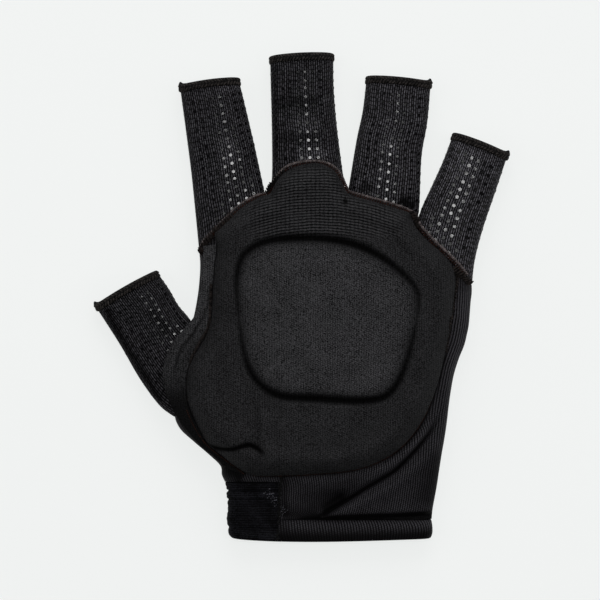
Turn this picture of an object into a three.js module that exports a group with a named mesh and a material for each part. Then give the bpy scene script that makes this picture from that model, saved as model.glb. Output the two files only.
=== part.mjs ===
import * as THREE from 'three';

// A field hockey glove with half-length finger sleeves and a moulded foam pad, lying palm down.
// Millimetres. +Y runs to the fingertips, +X to the little finger and +Z out of the back of the hand.
// The origin is on the flat underside of the palm, below the middle of the pad's cushion.

// Body of the glove, a flattened tube of stretch fabric
const handWidth = 108; // across the knuckles, without the thumb
const bodyLength = 141; // from the wrist hem to the finger crotches
const edgeRadius = 4.4; // half the height of the body where it folds over at its sides
const palmDome = 5; // how far the back rises above its folded sides
const fabricWall = 1.4;
const seamGap = 0.3; // what neighbouring pieces keep between them
const cuffSeam = 0.25; // where the wrist elastic ends, as a share of the width
const wristDip = 1.4; // how far the wrist's edge hangs below the line between its ends

// Finger sleeves and the rolled hems at their open ends
const sleeveWall = 1.2;
const tipRadius = 3.6; // half the height of a sleeve at its open end
const sleeveDome = 1.8;
const hemDepth = 2.4;
const hemBulge = 0.7; // how far a hem stands proud of its sleeve

// Foam pad on the back of the hand
const padThickness = 8.5;
const padEdge = 2.2; // thickness of the sewn edge
const padBevel = 7; // width of the slope from the edge to the full thickness
const cushionCrown = 1.4;
const grooveWidth = 5;
const grooveDepth = 4;
const padClearance = 0.5; // between the foam and the fabric under it
const padReach = 4.5; // the foam bridges hollows of the fabric narrower than twice this

// Folds of the fabric between the pad and the wrist
const foldHeight = 2.6;
const foldWidth = 5;
const creaseDepth = 1.5;
const creaseWidth = 3.5;

// Fabric panel along the thumb side of the pad
const panelWidth = 9.4; // at its widest, over the base of the thumb
const panelWall = 1;
const panelReach = 2; // the panel bridges hollows narrower than twice this

// A point of the plan: across as a share of the hand's width, along as a share of the body's length.
const plan = (across, along) => new THREE.Vector2(across * handWidth, along * bodyLength);

// The knuckle line, where the body ends and the sleeves begin, from the index to the little finger.
const knuckles = [
  plan(-0.476, 0.199),
  plan(-0.226, 0.34),
  plan(0.067, 0.343),
  plan(0.322, 0.264),
  plan(0.53, 0.099),
];

// The thumb seam, from its wrist end to the crotch between thumb and index finger.
const thumbSeam = { low: plan(-0.565, -0.275), high: plan(-0.5, -0.006) };

// Sleeves. Lean is the turn of the sleeve's axis towards the thumb and hemTilt the turn of its hem
// against the axis, in degrees. Each edge runs straight from the knuckle line to the hem apart from
// its shape rows: at is the share of the way, left and right are bulges as shares of the hem's width.
const fingers = [
  {
    name: 'index', base: [knuckles[0], knuckles[1]], length: 55, hemWidth: 23.8, lean: 9.3, hemTilt: -1.6,
    shape: [{ at: 0.5, left: -0.02, right: 0.01 }],
  },
  {
    name: 'middle', base: [knuckles[1], knuckles[2]], length: 54.7, hemWidth: 25.2, lean: 2, hemTilt: 0.7,
    shape: [
      { at: 0.15, left: -0.065, right: -0.01 },
      { at: 0.5, left: -0.05, right: -0.04 },
      { at: 0.8, left: -0.02, right: -0.035 },
    ],
  },
  {
    name: 'ring', base: [knuckles[2], knuckles[3]], length: 50.9, hemWidth: 25.7, lean: -7.7, hemTilt: 2.3,
    shape: [
      { at: 0.13, left: 0, right: 0.03 },
      { at: 0.5, left: 0, right: -0.02 },
      { at: 0.75, left: -0.02, right: 0.01 },
    ],
  },
  {
    name: 'little', base: [knuckles[3], knuckles[4]], length: 44.5, hemWidth: 23.3, lean: -18.1, hemTilt: -3.6,
    shape: [
      { at: 0.2, left: 0.03, right: -0.065 },
      { at: 0.45, left: 0.01, right: -0.07 },
      { at: 0.75, left: -0.01, right: -0.03 },
    ],
  },
  {
    name: 'thumb', base: [thumbSeam.low, thumbSeam.high], length: 37.3, hemWidth: 28.1, lean: 35.3, hemTilt: -5.5,
    shape: [
      { at: 0.14, left: 0.077, right: 0 },
      { at: 0.39, left: 0.083, right: -0.02 },
      { at: 0.69, left: 0.03, right: 0 },
    ],
  },
];

// Rows of the body from the wrist to the knuckles: its two side edges in the plan, its crown as a share
// of palmDome, and its hang as a share of wristDip. A row on the thumb seam has its thumb-side edge at
// that share of the seam, and an open one lets the thumb's sleeve in.
const bodyRows = [
  { left: [-0.359, -0.614], right: [0.378, -0.616], crown: 0.1, dip: 1 },
  { left: [-0.367, -0.594], right: [0.378, -0.596], crown: 0.1, dip: 0.7 },
  { left: [-0.372, -0.562], right: [0.38, -0.562], crown: 0.12, seam: 'hem' },
  { left: [-0.37, -0.535], right: [0.386, -0.532], crown: 0.16 },
  { left: [-0.372, -0.505], right: [0.393, -0.503], crown: 0.22 },
  { left: [-0.374, -0.48], right: [0.399, -0.478], crown: 0.3 },
  { left: [-0.381, -0.457], right: [0.404, -0.455], crown: 0.38, seam: 'elastic' },
  { left: [-0.39, -0.437], right: [0.408, -0.434], crown: 0.46 },
  { left: [-0.398, -0.411], right: [0.413, -0.409], crown: 0.56 },
  { left: [-0.444, -0.377], right: [0.42, -0.375], crown: 0.68 },
  { left: [-0.496, -0.343], right: [0.428, -0.341], crown: 0.78 },
  { left: [-0.544, -0.309], right: [0.435, -0.307], crown: 0.86 },
  { thumb: 0, right: [0.439, -0.278], crown: 0.9 },
  { thumb: 0.1, right: [0.443, -0.25], crown: 0.94, open: 1 },
  { thumb: 0.28, right: [0.454, -0.205], crown: 1, open: 1 },
  { thumb: 0.5, right: [0.462, -0.155], crown: 1, open: 1 },
  { thumb: 0.72, right: [0.485, -0.11], crown: 1, open: 1 },
  { thumb: 0.9, right: [0.506, -0.072], crown: 0.98, open: 1 },
  { thumb: 1, right: [0.514, -0.045], crown: 0.96 },
  { left: [-0.49, 0.03], right: [0.522, -0.015], crown: 0.92 },
  { left: [-0.48, 0.075], right: [0.527, 0.02], crown: 0.84 },
  { left: [-0.474, 0.12], right: [0.529, 0.05], crown: 0.72 },
  { left: [-0.472, 0.16], right: [0.53, 0.077], crown: 0.56 },
  { left: [-0.476, 0.199], right: [0.53, 0.099], crown: 0.4 },
];
const bulgeStart = 12; // the row from which the rows bend towards the knuckle line

// Shares of a row's width where the fabric's columns stand. The knuckle line's corners are among them.
const topColumns = [0.09, 0.17, cuffSeam, 0.33, 0.4, 0.47, 0.54, 0.605, 0.67, 0.74, 0.805, 0.87, 0.935];
const palmColumns = [0.12, cuffSeam, 0.54, 0.805, 0.9];
const sleeveColumns = [0.27, 0.5, 0.73];
const cornerAngles = [0, 30, 60, 90];

// Folds of the back between the pad and the wrist hem.
const folds = [
  {
    height: foldHeight, width: foldWidth,
    path: [plan(0.41, -0.23), plan(0.352, -0.315), plan(0.28, -0.375), plan(0.18, -0.42), plan(0.04, -0.455)],
  },
  {
    height: -creaseDepth, width: creaseWidth,
    path: [plan(0.43, -0.25), plan(0.36, -0.34), plan(0.265, -0.412), plan(0.135, -0.475), plan(-0.05, -0.558)],
  },
  {
    height: -creaseDepth, width: creaseWidth,
    path: [plan(-0.09, -0.568), plan(0.1, -0.562), plan(0.36, -0.553)],
  },
];

// The pad's outline and the groove round its cushion, both round the origin and clockwise.
const padOutline = [
  [-0.419, 0.25], [-0.344, 0.315], [-0.25, 0.352], [-0.212, 0.362], [-0.181, 0.403], [-0.104, 0.443],
  [-0.048, 0.448], [0.004, 0.441], [0.037, 0.415], [0.066, 0.37], [0.156, 0.343], [0.28, 0.313],
  [0.325, 0.262], [0.415, 0.193], [0.458, 0.15], [0.468, 0.1], [0.452, -0.014], [0.415, -0.15],
  [0.352, -0.278], [0.244, -0.374], [0.081, -0.426], [-0.159, -0.44], [-0.274, -0.44], [-0.326, -0.423],
  [-0.444, -0.349], [-0.511, -0.247], [-0.519, -0.15], [-0.463, -0.054], [-0.437, 0.062], [-0.428, 0.19],
].map(([across, along]) => plan(across, along));
const cushionGroove = [
  [-0.333, 0.148], [-0.281, 0.204], [-0.17, 0.23], [0.007, 0.228], [0.163, 0.193], [0.296, 0.116],
  [0.337, 0.04], [0.307, -0.077], [0.259, -0.179], [0.17, -0.227], [-0.037, -0.224], [-0.222, -0.201],
  [-0.304, -0.119], [-0.337, 0.043],
].map(([across, along]) => plan(across, along));
const padSpokes = 64;

// The dent across the pad's heel where the thumb bends.
const thumbDent = {
  height: -1.8, width: 4,
  path: [plan(-0.444, -0.357), plan(-0.32, -0.352), plan(-0.26, -0.366), plan(-0.215, -0.403)],
};

// The thumb-side panel: at is the share of the way from its end at the index finger to the one at the
// wrist, along the pad's outline, and width is a share of panelWidth.
const panelEnds = { start: 0.988, end: 0.71 }; // arc-length shares of the pad's outline
const panelRows = [
  { at: 0, width: 0.42 }, { at: 0.1, width: 0.38 }, { at: 0.2, width: 0.42 }, { at: 0.28, width: 0.53 },
  { at: 0.35, width: 0.83 }, { at: 0.42, width: 0.95 }, { at: 0.49, width: 1 }, { at: 0.56, width: 0.92 },
  { at: 0.61, width: 0.76 }, { at: 0.66, width: 0.58 }, { at: 0.71, width: 0.52 }, { at: 0.77, width: 0.34 },
  { at: 0.83, width: 0.2 }, { at: 0.88, width: 0.18 }, { at: 0.93, width: 0.3 }, { at: 1, width: 0.36 },
];

const finishes = {
  body: { color: 0x19191b, roughness: 0.7 },
  pad: { color: 0x1d1d1f, roughness: 0.75 },
  sleeve: { color: 0x232324, roughness: 0.8 },
  hem: { color: 0x131313, roughness: 0.9 },
  elastic: { color: 0x161618, roughness: 0.8 },
};

const radians = THREE.MathUtils.degToRad;
const mix = THREE.MathUtils.lerp;

// Collects triangles on shared vertices and turns them outwards at the end.
class Solid {
  constructor() {
    this.positions = [];
    this.indices = [];
  }

  vertex(point) {
    return this.positions.push(point) - 1;
  }

  quad(a, b, c, d) {
    this.indices.push(a, b, c, a, c, d);
  }

  geometry() {
    const [p, index] = [this.positions, this.indices];
    let volume = 0;
    for (let k = 0; k < index.length; k += 3) {
      volume += p[index[k]].dot(new THREE.Vector3().crossVectors(p[index[k + 1]], p[index[k + 2]]));
    }
    if (volume < 0) index.reverse();
    return new THREE.BufferGeometry().setFromPoints(p).setIndex(index);
  }
}

// A closed solid from the cells of a sheet that owns(row, column) says are its own. Outer and inner
// are rows of points, and wherever a cell has no neighbour a wall joins the two.
function sheetSolid(outer, inner, { closed = false, owns = () => true } = {}) {
  const solid = new Solid();
  const rowCount = outer.length;
  const columnCount = outer[0].length;
  const columnCells = closed ? columnCount : columnCount - 1;
  const known = new Map();
  const vertex = (face, row, column) => {
    const wrapped = column % columnCount;
    const key = `${face}:${row}:${wrapped}`;
    if (!known.has(key)) known.set(key, solid.vertex((face === 'outer' ? outer : inner)[row][wrapped]));
    return known.get(key);
  };
  const filled = (row, column) => {
    if (row < 0 || row >= rowCount - 1) return false;
    if (closed) return owns(row, (column + columnCells) % columnCells);
    return column >= 0 && column < columnCells && owns(row, column);
  };
  for (let row = 0; row < rowCount - 1; row++) {
    for (let column = 0; column < columnCells; column++) {
      if (!filled(row, column)) continue;
      const corners = [[row, column], [row, column + 1], [row + 1, column + 1], [row + 1, column]];
      const out = corners.map(([r, c]) => vertex('outer', r, c));
      const back = corners.map(([r, c]) => vertex('inner', r, c));
      solid.quad(...out);
      solid.quad(back[3], back[2], back[1], back[0]);
      const neighbours = [[row - 1, column], [row, column + 1], [row + 1, column], [row, column - 1]];
      neighbours.forEach(([r, c], side) => {
        const next = (side + 1) % 4;
        if (!filled(r, c)) solid.quad(out[next], out[side], back[side], back[next]);
      });
    }
  }
  return solid.geometry();
}

// A torus-like solid from rings of points, closed both ways.
function ringSolid(rings) {
  const solid = new Solid();
  const ids = rings.map((ring) => ring.map((point) => solid.vertex(point)));
  ids.forEach((ring, k) => {
    const nextRing = ids[(k + 1) % ids.length];
    ring.forEach((id, i) => {
      const next = (i + 1) % ring.length;
      solid.quad(id, ring[next], nextRing[next], nextRing[i]);
    });
  });
  return solid.geometry();
}

// Stations round a flattened tube: over the top from its left edge to its right one, and back below.
// With a split, the two edges are parted, so that top and bottom can be pieces of their own.
function loopStations(top, bottom, split) {
  const corner = (side, end, angle) => ({ side, end, angle: radians(angle) });
  const rising = cornerAngles;
  const falling = [...cornerAngles].reverse();
  const below = split ? cornerAngles : cornerAngles.slice(1);
  return [
    ...rising.map((angle) => corner(1, 'left', angle)),
    ...top.map((share) => ({ side: 1, share })),
    ...falling.map((angle) => corner(1, 'right', angle)),
    ...below.map((angle) => corner(-1, 'right', angle)),
    ...[...bottom].reverse().map((share) => ({ side: -1, share })),
    ...[...below].reverse().map((angle) => corner(-1, 'left', angle)),
  ];
}

// The point of a flattened tube's section at a station, moved into the fabric by inset. An open side
// edge spreads flat, so that another tube can join it.
function sectionPoint(section, station, inset) {
  const { left, right, floor, radius, crown, open = 0, split = 0, bend, lift } = section;
  const width = left.distanceTo(right);
  const inner = radius - inset;
  const step = inset + inner * (1 - Math.cos(station.angle ?? 0));
  let across = station.share * width;
  if (station.end === 'left') across = step;
  if (station.end === 'right') across = width - step;
  const share = across / width;
  const point = left.clone().lerp(right, share);
  if (bend) point.add(bend(share));
  let rise = inner;
  if (station.end) {
    rise = Math.max(split / 2, inner * Math.sin(station.angle));
    if (station.end === 'left') rise = mix(rise, inner, open);
  }
  let z = floor + radius + station.side * rise;
  if (station.side > 0) z += crown * (1 - Math.abs(2 * share - 1) ** 2.6);
  if (station.side > 0 && lift) z += lift(point) * Math.min(1, rise / inner);
  return new THREE.Vector3(point.x, point.y, z);
}

const sectionRows = (sections, stations, inset) =>
  sections.map((section) => stations.map((station) => sectionPoint(section, station, inset)));

// The nearest distance from a point to a path, with the share of the way along it.
function nearestOnPath(path, point) {
  let best = { distance: Infinity, share: 0 };
  for (let k = 0; k + 1 < path.length; k++) {
    const way = path[k + 1].clone().sub(path[k]);
    const t = THREE.MathUtils.clamp(point.clone().sub(path[k]).dot(way) / way.lengthSq(), 0, 1);
    const distance = path[k].clone().addScaledVector(way, t).distanceTo(point);
    if (distance < best.distance) best = { distance, share: (k + t) / (path.length - 1) };
  }
  return best;
}

// Height that a fold adds at a point: round across, and fading out at its two ends.
function foldAt(fold, point) {
  const { distance, share } = nearestOnPath(fold.path, point);
  if (distance >= fold.width) return 0;
  const across = 0.5 + 0.5 * Math.cos((Math.PI * distance) / fold.width);
  const fade = Math.min(1, 4 * share, 4 * (1 - share));
  return fold.height * across * (0.25 + 0.75 * fade);
}

const foldsAt = (point) => folds.reduce((sum, fold) => sum + foldAt(fold, point), 0);

// How far the knuckle line stands out from the straight line between its ends, at a share of the width.
function knuckleBulge(share) {
  const first = knuckles[0];
  const last = knuckles[knuckles.length - 1];
  const marks = [0, cuffSeam, 0.54, 0.805, 1];
  const k = Math.max(0, marks.findLastIndex((mark, i) => mark <= share && i < marks.length - 1));
  const t = (share - marks[k]) / (marks[k + 1] - marks[k]);
  return knuckles[k].clone().lerp(knuckles[k + 1], t).sub(first.clone().lerp(last, share));
}

// How far the wrist's edge hangs, deepest where the hem band begins.
const wristBend = (share, dip) => new THREE.Vector2(0, -dip * wristDip * Math.sin(Math.PI * share ** 0.7));

// The body's sections. A seam row is doubled, with the seam's gap between the two.
function bodySections() {
  const sections = [];
  bodyRows.forEach((row, k) => {
    const weight = Math.max(0, (k - bulgeStart) / (bodyRows.length - 1 - bulgeStart));
    const bendShare = weight * weight * (3 - 2 * weight);
    const left = row.left ? plan(...row.left) : thumbSeam.low.clone().lerp(thumbSeam.high, row.thumb);
    const right = plan(...row.right);
    const shifts = row.seam ? [-seamGap / 2, seamGap / 2] : [0];
    for (const shift of shifts) {
      sections.push({
        left: left.clone().add(new THREE.Vector2(0, shift)),
        right: right.clone().add(new THREE.Vector2(0, shift)),
        floor: 0, radius: edgeRadius, crown: palmDome * row.crown, open: row.open, split: seamGap,
        bend: (share) => knuckleBulge(share).multiplyScalar(bendShare).add(wristBend(share, row.dip ?? 0)),
        lift: foldsAt, seam: row.seam,
      });
    }
  });
  return sections;
}

// The body is one grid of cells round the hand, and its four pieces each take their own cells.
function bodyPieces() {
  const part = (shares) => shares.flatMap((share) =>
    share === cuffSeam ? [share - seamGap / 2 / handWidth, share + seamGap / 2 / handWidth] : [share]);
  const stations = loopStations(part(topColumns), part(palmColumns), true);
  const sections = bodySections();
  const outer = sectionRows(sections, stations, 0);
  const inner = sectionRows(sections, stations, fabricWall);

  const hemRow = sections.findIndex((section) => section.seam === 'hem');
  const elasticRow = sections.findIndex((section) => section.seam === 'elastic');
  const sideOf = (station) => {
    if (station.end) return station.end === 'left' ? 'thumb' : 'little';
    if (station.share < cuffSeam) return 'thumb';
    return 'little';
  };
  const owner = (row, column) => {
    const [a, b] = [stations[column], stations[(column + 1) % stations.length]];
    const atEdge = a.side !== b.side;
    const atCuffSeam = !atEdge && sideOf(a) !== sideOf(b);
    const thumbSide = sideOf(a) === 'thumb';
    const above = a.side > 0 ? 'back_panel' : 'palm_panel';
    if (atCuffSeam) return row > elasticRow ? above : null;
    const seamRow = thumbSide ? elasticRow : hemRow;
    if (row < seamRow) return thumbSide ? 'wrist_elastic' : 'hem_band';
    return row === seamRow || atEdge ? null : above;
  };
  const piece = (name) =>
    sheetSolid(outer, inner, { closed: true, owns: (row, column) => owner(row, column) === name });
  return {
    back_panel: piece('back_panel'),
    palm_panel: piece('palm_panel'),
    wrist_elastic: piece('wrist_elastic'),
    hem_band: piece('hem_band'),
  };
}

// The corners of a sleeve in the plan, and the curves of its two edges between them.
function sleeveEdges(finger) {
  const [low, high] = finger.base;
  const along = high.clone().sub(low).normalize();
  const outward = new THREE.Vector2(-along.y, along.x).multiplyScalar(seamGap);
  const left = low.clone().addScaledVector(along, seamGap / 2).add(outward);
  const right = high.clone().addScaledVector(along, -seamGap / 2).add(outward);
  const lean = radians(finger.lean);
  const axis = new THREE.Vector2(-Math.sin(lean), Math.cos(lean));
  const hemAngle = lean + radians(finger.hemTilt);
  const half = new THREE.Vector2(Math.cos(hemAngle), Math.sin(hemAngle)).multiplyScalar(finger.hemWidth / 2);
  const tip = left.clone().lerp(right, 0.5).addScaledVector(axis, finger.length);
  const edge = (from, to, side) => {
    const way = to.clone().sub(from);
    const out = new THREE.Vector2(-way.y, way.x).normalize().multiplyScalar(side === 'left' ? 1 : -1);
    const points = finger.shape.map((row) =>
      from.clone().addScaledVector(way, row.at).addScaledVector(out, row[side] * finger.hemWidth));
    return new THREE.SplineCurve([from, ...points, to]);
  };
  return {
    left: edge(left, tip.clone().sub(half), 'left'),
    right: edge(right, tip.clone().add(half), 'right'),
    hemOut: new THREE.Vector2(-half.y, half.x).normalize(),
  };
}

// Sections of a sleeve: share of its length, and its height, floor and crown between base and hem.
const sleeveRows = [0, 0.14, 0.32, 0.55, 0.78, 1];

function sleeveSections(finger) {
  const { left, right } = sleeveEdges(finger);
  return sleeveRows.map((share) => ({
    left: left.getPoint(share),
    right: right.getPoint(share),
    floor: hemBulge * share,
    radius: mix(edgeRadius, tipRadius, share),
    crown: mix(palmDome * 0.2, sleeveDome, Math.min(1, 2 * share)),
  }));
}

function sleeveGeometry(finger) {
  const stations = loopStations(sleeveColumns, sleeveColumns, false);
  const sections = sleeveSections(finger);
  return sheetSolid(
    sectionRows(sections, stations, 0),
    sectionRows(sections, stations, sleeveWall),
    { closed: true },
  );
}

// The rolled hem: a rounded lip round the sleeve's open end. Rows give the way out along the sleeve as
// a share of the hem's depth, and how far into the wall, from outside the sleeve to inside it.
const hemProfile = [
  { out: 0, inset: -0.3 * hemBulge },
  { out: 0.3, inset: -hemBulge },
  { out: 0.75, inset: -hemBulge },
  { out: 1, inset: sleeveWall / 2 },
  { out: 0.7, inset: sleeveWall },
  { out: 0, inset: sleeveWall },
];

function hemGeometry(finger) {
  const stations = loopStations(sleeveColumns, sleeveColumns, false);
  const end = sleeveSections(finger).at(-1);
  const { hemOut } = sleeveEdges(finger);
  return ringSolid(hemProfile.map(({ out, inset }) => {
    const away = hemOut.clone().multiplyScalar(seamGap + out * hemDepth);
    const section = { ...end, left: end.left.clone().add(away), right: end.right.clone().add(away) };
    return stations.map((station) => sectionPoint(section, station, inset));
  }));
}

// The height that a piece laid at a point of the plan rests on: the highest fabric within its reach.
function restingHeights(meshes) {
  const caster = new THREE.Raycaster();
  const down = new THREE.Vector3(0, 0, -1);
  const around = [new THREE.Vector2()];
  for (let k = 0; k < 12; k++) {
    const angle = radians(30 * k);
    around.push(new THREE.Vector2(Math.cos(angle), Math.sin(angle)).multiplyScalar(k % 2 ? 0.5 : 1));
  }
  return (point, lowest, reach) => {
    const heights = around.map((way) => {
      caster.set(new THREE.Vector3(point.x + reach * way.x, point.y + reach * way.y, 200), down);
      return caster.intersectObjects(meshes, false)[0]?.point.z ?? 0;
    });
    return Math.max(lowest, ...heights);
  };
}

const closedCurve = (points) =>
  new THREE.CatmullRomCurve3(points.map((p) => new THREE.Vector3(p.x, p.y, 0)), true);

// Distance from the origin to a closed curve at an angle.
function radiusAt(samples, angle) {
  for (let k = 0; k + 1 < samples.length; k++) {
    const [a, b] = [samples[k], samples[k + 1]];
    const turn = (p) => Math.atan2(Math.sin(Math.atan2(p.y, p.x) - angle), Math.cos(Math.atan2(p.y, p.x) - angle));
    const [ta, tb] = [turn(a), turn(b)];
    if (ta * tb <= 0 && Math.abs(ta) + Math.abs(tb) < 1) {
      return mix(a.length(), b.length(), ta === tb ? 0 : ta / (ta - tb));
    }
  }
  throw new Error('the groove does not go round the origin');
}

// Rings of the pad's face on one spoke: distance from the origin, and the foam's thickness there.
function padRings(groove, rim) {
  const half = grooveWidth / 2;
  const bevel = Math.min(padBevel, 0.7 * (rim - groove - half));
  const cushion = groove - half;
  const slope = (share) => mix(padEdge, padThickness, share);
  return [
    { radius: 0.4 * cushion, thickness: padThickness + 0.85 * cushionCrown },
    { radius: 0.75 * cushion, thickness: padThickness + 0.5 * cushionCrown },
    { radius: cushion, thickness: padThickness },
    { radius: groove - 0.35 * half, thickness: padThickness - 0.85 * grooveDepth },
    { radius: groove + 0.35 * half, thickness: padThickness - 0.85 * grooveDepth },
    { radius: groove + half, thickness: padThickness },
    { radius: rim - bevel, thickness: slope(0.95) },
    { radius: rim - 0.5 * bevel, thickness: slope(0.72) },
    { radius: rim - 0.15 * bevel, thickness: slope(0.32) },
    { radius: rim, thickness: padEdge },
  ];
}

function padGeometry(restingOn) {
  const solid = new Solid();
  const outline = closedCurve(padOutline).getSpacedPoints(padSpokes).slice(0, padSpokes);
  const grooveSamples = closedCurve(cushionGroove).getSpacedPoints(240);
  const seatAt = (point) => restingOn(point, 2 * edgeRadius, padReach) + padClearance;
  const middleSeat = seatAt(new THREE.Vector2());
  const rimSeats = outline.map((end) => seatAt(end));
  const spokes = outline.map((end, k) => {
    const angle = Math.atan2(end.y, end.x);
    const at = (radius) => new THREE.Vector2(Math.cos(angle), Math.sin(angle)).multiplyScalar(radius);
    const rings = padRings(radiusAt(grooveSamples, angle), end.length());
    const nearby = [-2, -1, 0, 1, 2].map((step) => rimSeats.at((k + step) % padSpokes));
    const rimSeat = Math.max(rimSeats[k], nearby.reduce((sum, seat) => sum + seat) / nearby.length);
    const face = rings.map(({ radius, thickness }) => {
      const point = at(radius);
      const seat = mix(middleSeat, rimSeat, (radius / end.length()) ** 2);
      return new THREE.Vector3(point.x, point.y, seat + thickness + foldAt(thumbDent, point));
    });
    const under = [0, 2, 5, 7, 9].map((ring) => {
      const point = at(rings[ring].radius);
      return new THREE.Vector3(point.x, point.y, seatAt(point));
    });
    return [...face, ...under.reverse()].map((point) => solid.vertex(point));
  });
  const top = solid.vertex(new THREE.Vector3(0, 0, middleSeat + padThickness + cushionCrown));
  const bottom = solid.vertex(new THREE.Vector3(0, 0, middleSeat));
  spokes.forEach((spoke, k) => {
    const next = spokes[(k + 1) % spokes.length];
    solid.indices.push(top, spoke[0], next[0]);
    for (let i = 0; i + 1 < spoke.length; i++) solid.quad(spoke[i], spoke[i + 1], next[i + 1], next[i]);
    solid.indices.push(bottom, next.at(-1), spoke.at(-1));
  });
  return solid.geometry();
}

// The fabric panel that fills the space between the pad's thumb side and the folded edge of the glove.
function panelGeometry(restingOn) {
  const outline = closedCurve(padOutline);
  const rows = panelRows.map(({ at, width }) => {
    const share = mix(panelEnds.start, panelEnds.end, at);
    const edge = outline.getPointAt(share);
    const tangent = outline.getTangentAt(share);
    const out = new THREE.Vector2(-tangent.y, tangent.x);
    return [0, 0.35, 0.7, 1].map((part) => {
      const distance = 2 * seamGap + part * width * panelWidth;
      return new THREE.Vector2(edge.x, edge.y).addScaledVector(out, distance);
    });
  });
  const raised = (height) => rows.map((row) => row.map((point) =>
    new THREE.Vector3(point.x, point.y, restingOn(point, edgeRadius, panelReach) + height)));
  return sheetSolid(raised(padClearance + panelWall), raised(padClearance));
}

function named(name, geometry, finish) {
  const mesh = new THREE.Mesh(geometry, new THREE.MeshStandardMaterial({ metalness: 0, ...finishes[finish] }));
  mesh.name = name;
  return mesh;
}

const glove = new THREE.Group();

const body = new THREE.Group();
const { back_panel, palm_panel, wrist_elastic, hem_band } = bodyPieces();
const back = named('back_panel', back_panel, 'body');
body.add(
  back,
  named('palm_panel', palm_panel, 'body'),
  named('wrist_elastic', wrist_elastic, 'elastic'),
  named('hem_band', hem_band, 'body'),
);

const sleeves = new THREE.Group();
for (const finger of fingers) {
  sleeves.add(
    named(`sleeve_${finger.name}`, sleeveGeometry(finger), 'sleeve'),
    named(`tip_hem_${finger.name}`, hemGeometry(finger), 'hem'),
  );
}

const underPad = [back, ...sleeves.children];
const restingOn = restingHeights(underPad);
const armour = new THREE.Group();
armour.add(
  named('back_pad', padGeometry(restingOn), 'pad'),
  named('thumb_side_panel', panelGeometry(restingOn), 'body'),
);

glove.add(body, sleeves, armour);

export default glove;
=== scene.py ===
import math

import bmesh
import bpy
import numpy as np
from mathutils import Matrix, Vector
from mathutils.bvhtree import BVHTree


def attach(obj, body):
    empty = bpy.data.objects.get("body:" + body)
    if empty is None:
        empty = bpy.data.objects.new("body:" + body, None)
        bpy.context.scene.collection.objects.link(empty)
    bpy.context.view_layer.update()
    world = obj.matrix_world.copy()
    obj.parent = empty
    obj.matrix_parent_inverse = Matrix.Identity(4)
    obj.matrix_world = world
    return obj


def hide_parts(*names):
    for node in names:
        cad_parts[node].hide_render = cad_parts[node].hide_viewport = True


# A field hockey glove with half-length finger sleeves, lying palm down and seen from above.
# Places and sizes are in millimetres and the meshes in metres. +Y runs to the fingertips.
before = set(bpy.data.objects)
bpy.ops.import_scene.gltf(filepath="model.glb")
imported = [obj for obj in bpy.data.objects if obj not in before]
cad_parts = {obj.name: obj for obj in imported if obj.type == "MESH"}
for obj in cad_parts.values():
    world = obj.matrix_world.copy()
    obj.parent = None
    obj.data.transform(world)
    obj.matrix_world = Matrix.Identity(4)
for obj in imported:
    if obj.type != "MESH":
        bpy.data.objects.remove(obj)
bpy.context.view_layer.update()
scene = bpy.context.scene

cameraSetup = {"place": (-11.2, 8.0, 1200.0), "lens": 180.0, "sensor": 36.0}


def placeCamera(setup):
    camera = bpy.data.cameras.new("camera")
    camera.lens = setup["lens"]
    camera.sensor_width = setup["sensor"]
    camera.clip_end = 20
    holder = bpy.data.objects.new("camera", camera)
    holder.location = Vector(setup["place"]) * 0.001
    scene.collection.objects.link(holder)
    scene.camera = holder


placeCamera(cameraSetup)
print("camera placed")


# Curves and grids of points

# Points traced at the palm's scale, where they stand at a height: nearer the camera they look larger.
def raised(points, height):
    middle = np.array(cameraSetup["place"][:2])
    return middle + (np.asarray(points, float) - middle) * (1 - height / cameraSetup["place"][2])


# The rows of a table at fractional row numbers, on a smooth curve through them.
def spline(table, at):
    table = np.asarray(table, float)
    k = np.clip(np.asarray(at).astype(int), 0, len(table) - 2)
    t = (at - k)[:, None]
    a, b, c, d = (table[np.clip(k + step, 0, len(table) - 1)] for step in (-1, 0, 1, 2))
    return 0.5 * (2 * b + (c - a) * t + (2 * a - 5 * b + 4 * c - d) * t**2 + (3 * b - a - 3 * c + d) * t**3)


# Evenly spaced points on a smooth curve.
def through(points, count, closed=False):
    points = np.asarray(points, float)
    if closed:
        points = np.vstack([points[-2:], points, points[:3]])
        dense = spline(points, np.linspace(2, len(points) - 3, 24 * len(points)))
    else:
        dense = spline(points, np.linspace(0, len(points) - 1, 24 * len(points)))
    way = np.r_[0, np.cumsum(np.linalg.norm(np.diff(dense, axis=0), axis=1))]
    wanted = np.linspace(0, way[-1], count + closed)[:count]
    return np.column_stack([np.interp(wanted, way, column) for column in dense.T])


# For each point of the plan: its distance to a path, the share of the way along it, and its side.
def alongPath(points, path):
    flat = points[..., :2].reshape(-1, 2)
    distance = np.full(len(flat), 1e9)
    share = np.zeros(len(flat))
    side = np.ones(len(flat))
    for k, (start, way) in enumerate(zip(path[:-1], np.diff(path, axis=0))):
        t = np.clip((flat - start) @ way / (way @ way), 0, 1)
        gap = flat - start - t[:, None] * way
        found = np.hypot(gap[:, 0], gap[:, 1])
        near = found < distance
        distance[near] = found[near]
        share[near] = (k + t[near]) / (len(path) - 1)
        side[near] = np.sign(way[0] * gap[near, 1] - way[1] * gap[near, 0])
    shape = points.shape[:-1]
    return distance.reshape(shape), share.reshape(shape), side.reshape(shape)


def smooth(value, low, high):
    t = np.clip((value - low) / (high - low), 0, 1)
    return t * t * (3 - 2 * t)


def hump(value, middle, width):
    return np.exp(-(((value - middle) / width) ** 2))


# A fold, crease or shade along a path: its height and half width, another half width on its right
# where that differs, and the shares of its length over which it starts and ends.
def fold(path, height, width, right=None, fade=(0.2, 0.2)):
    return {"path": path, "height": height, "width": width, "right": right or width, "fade": fade}


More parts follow.
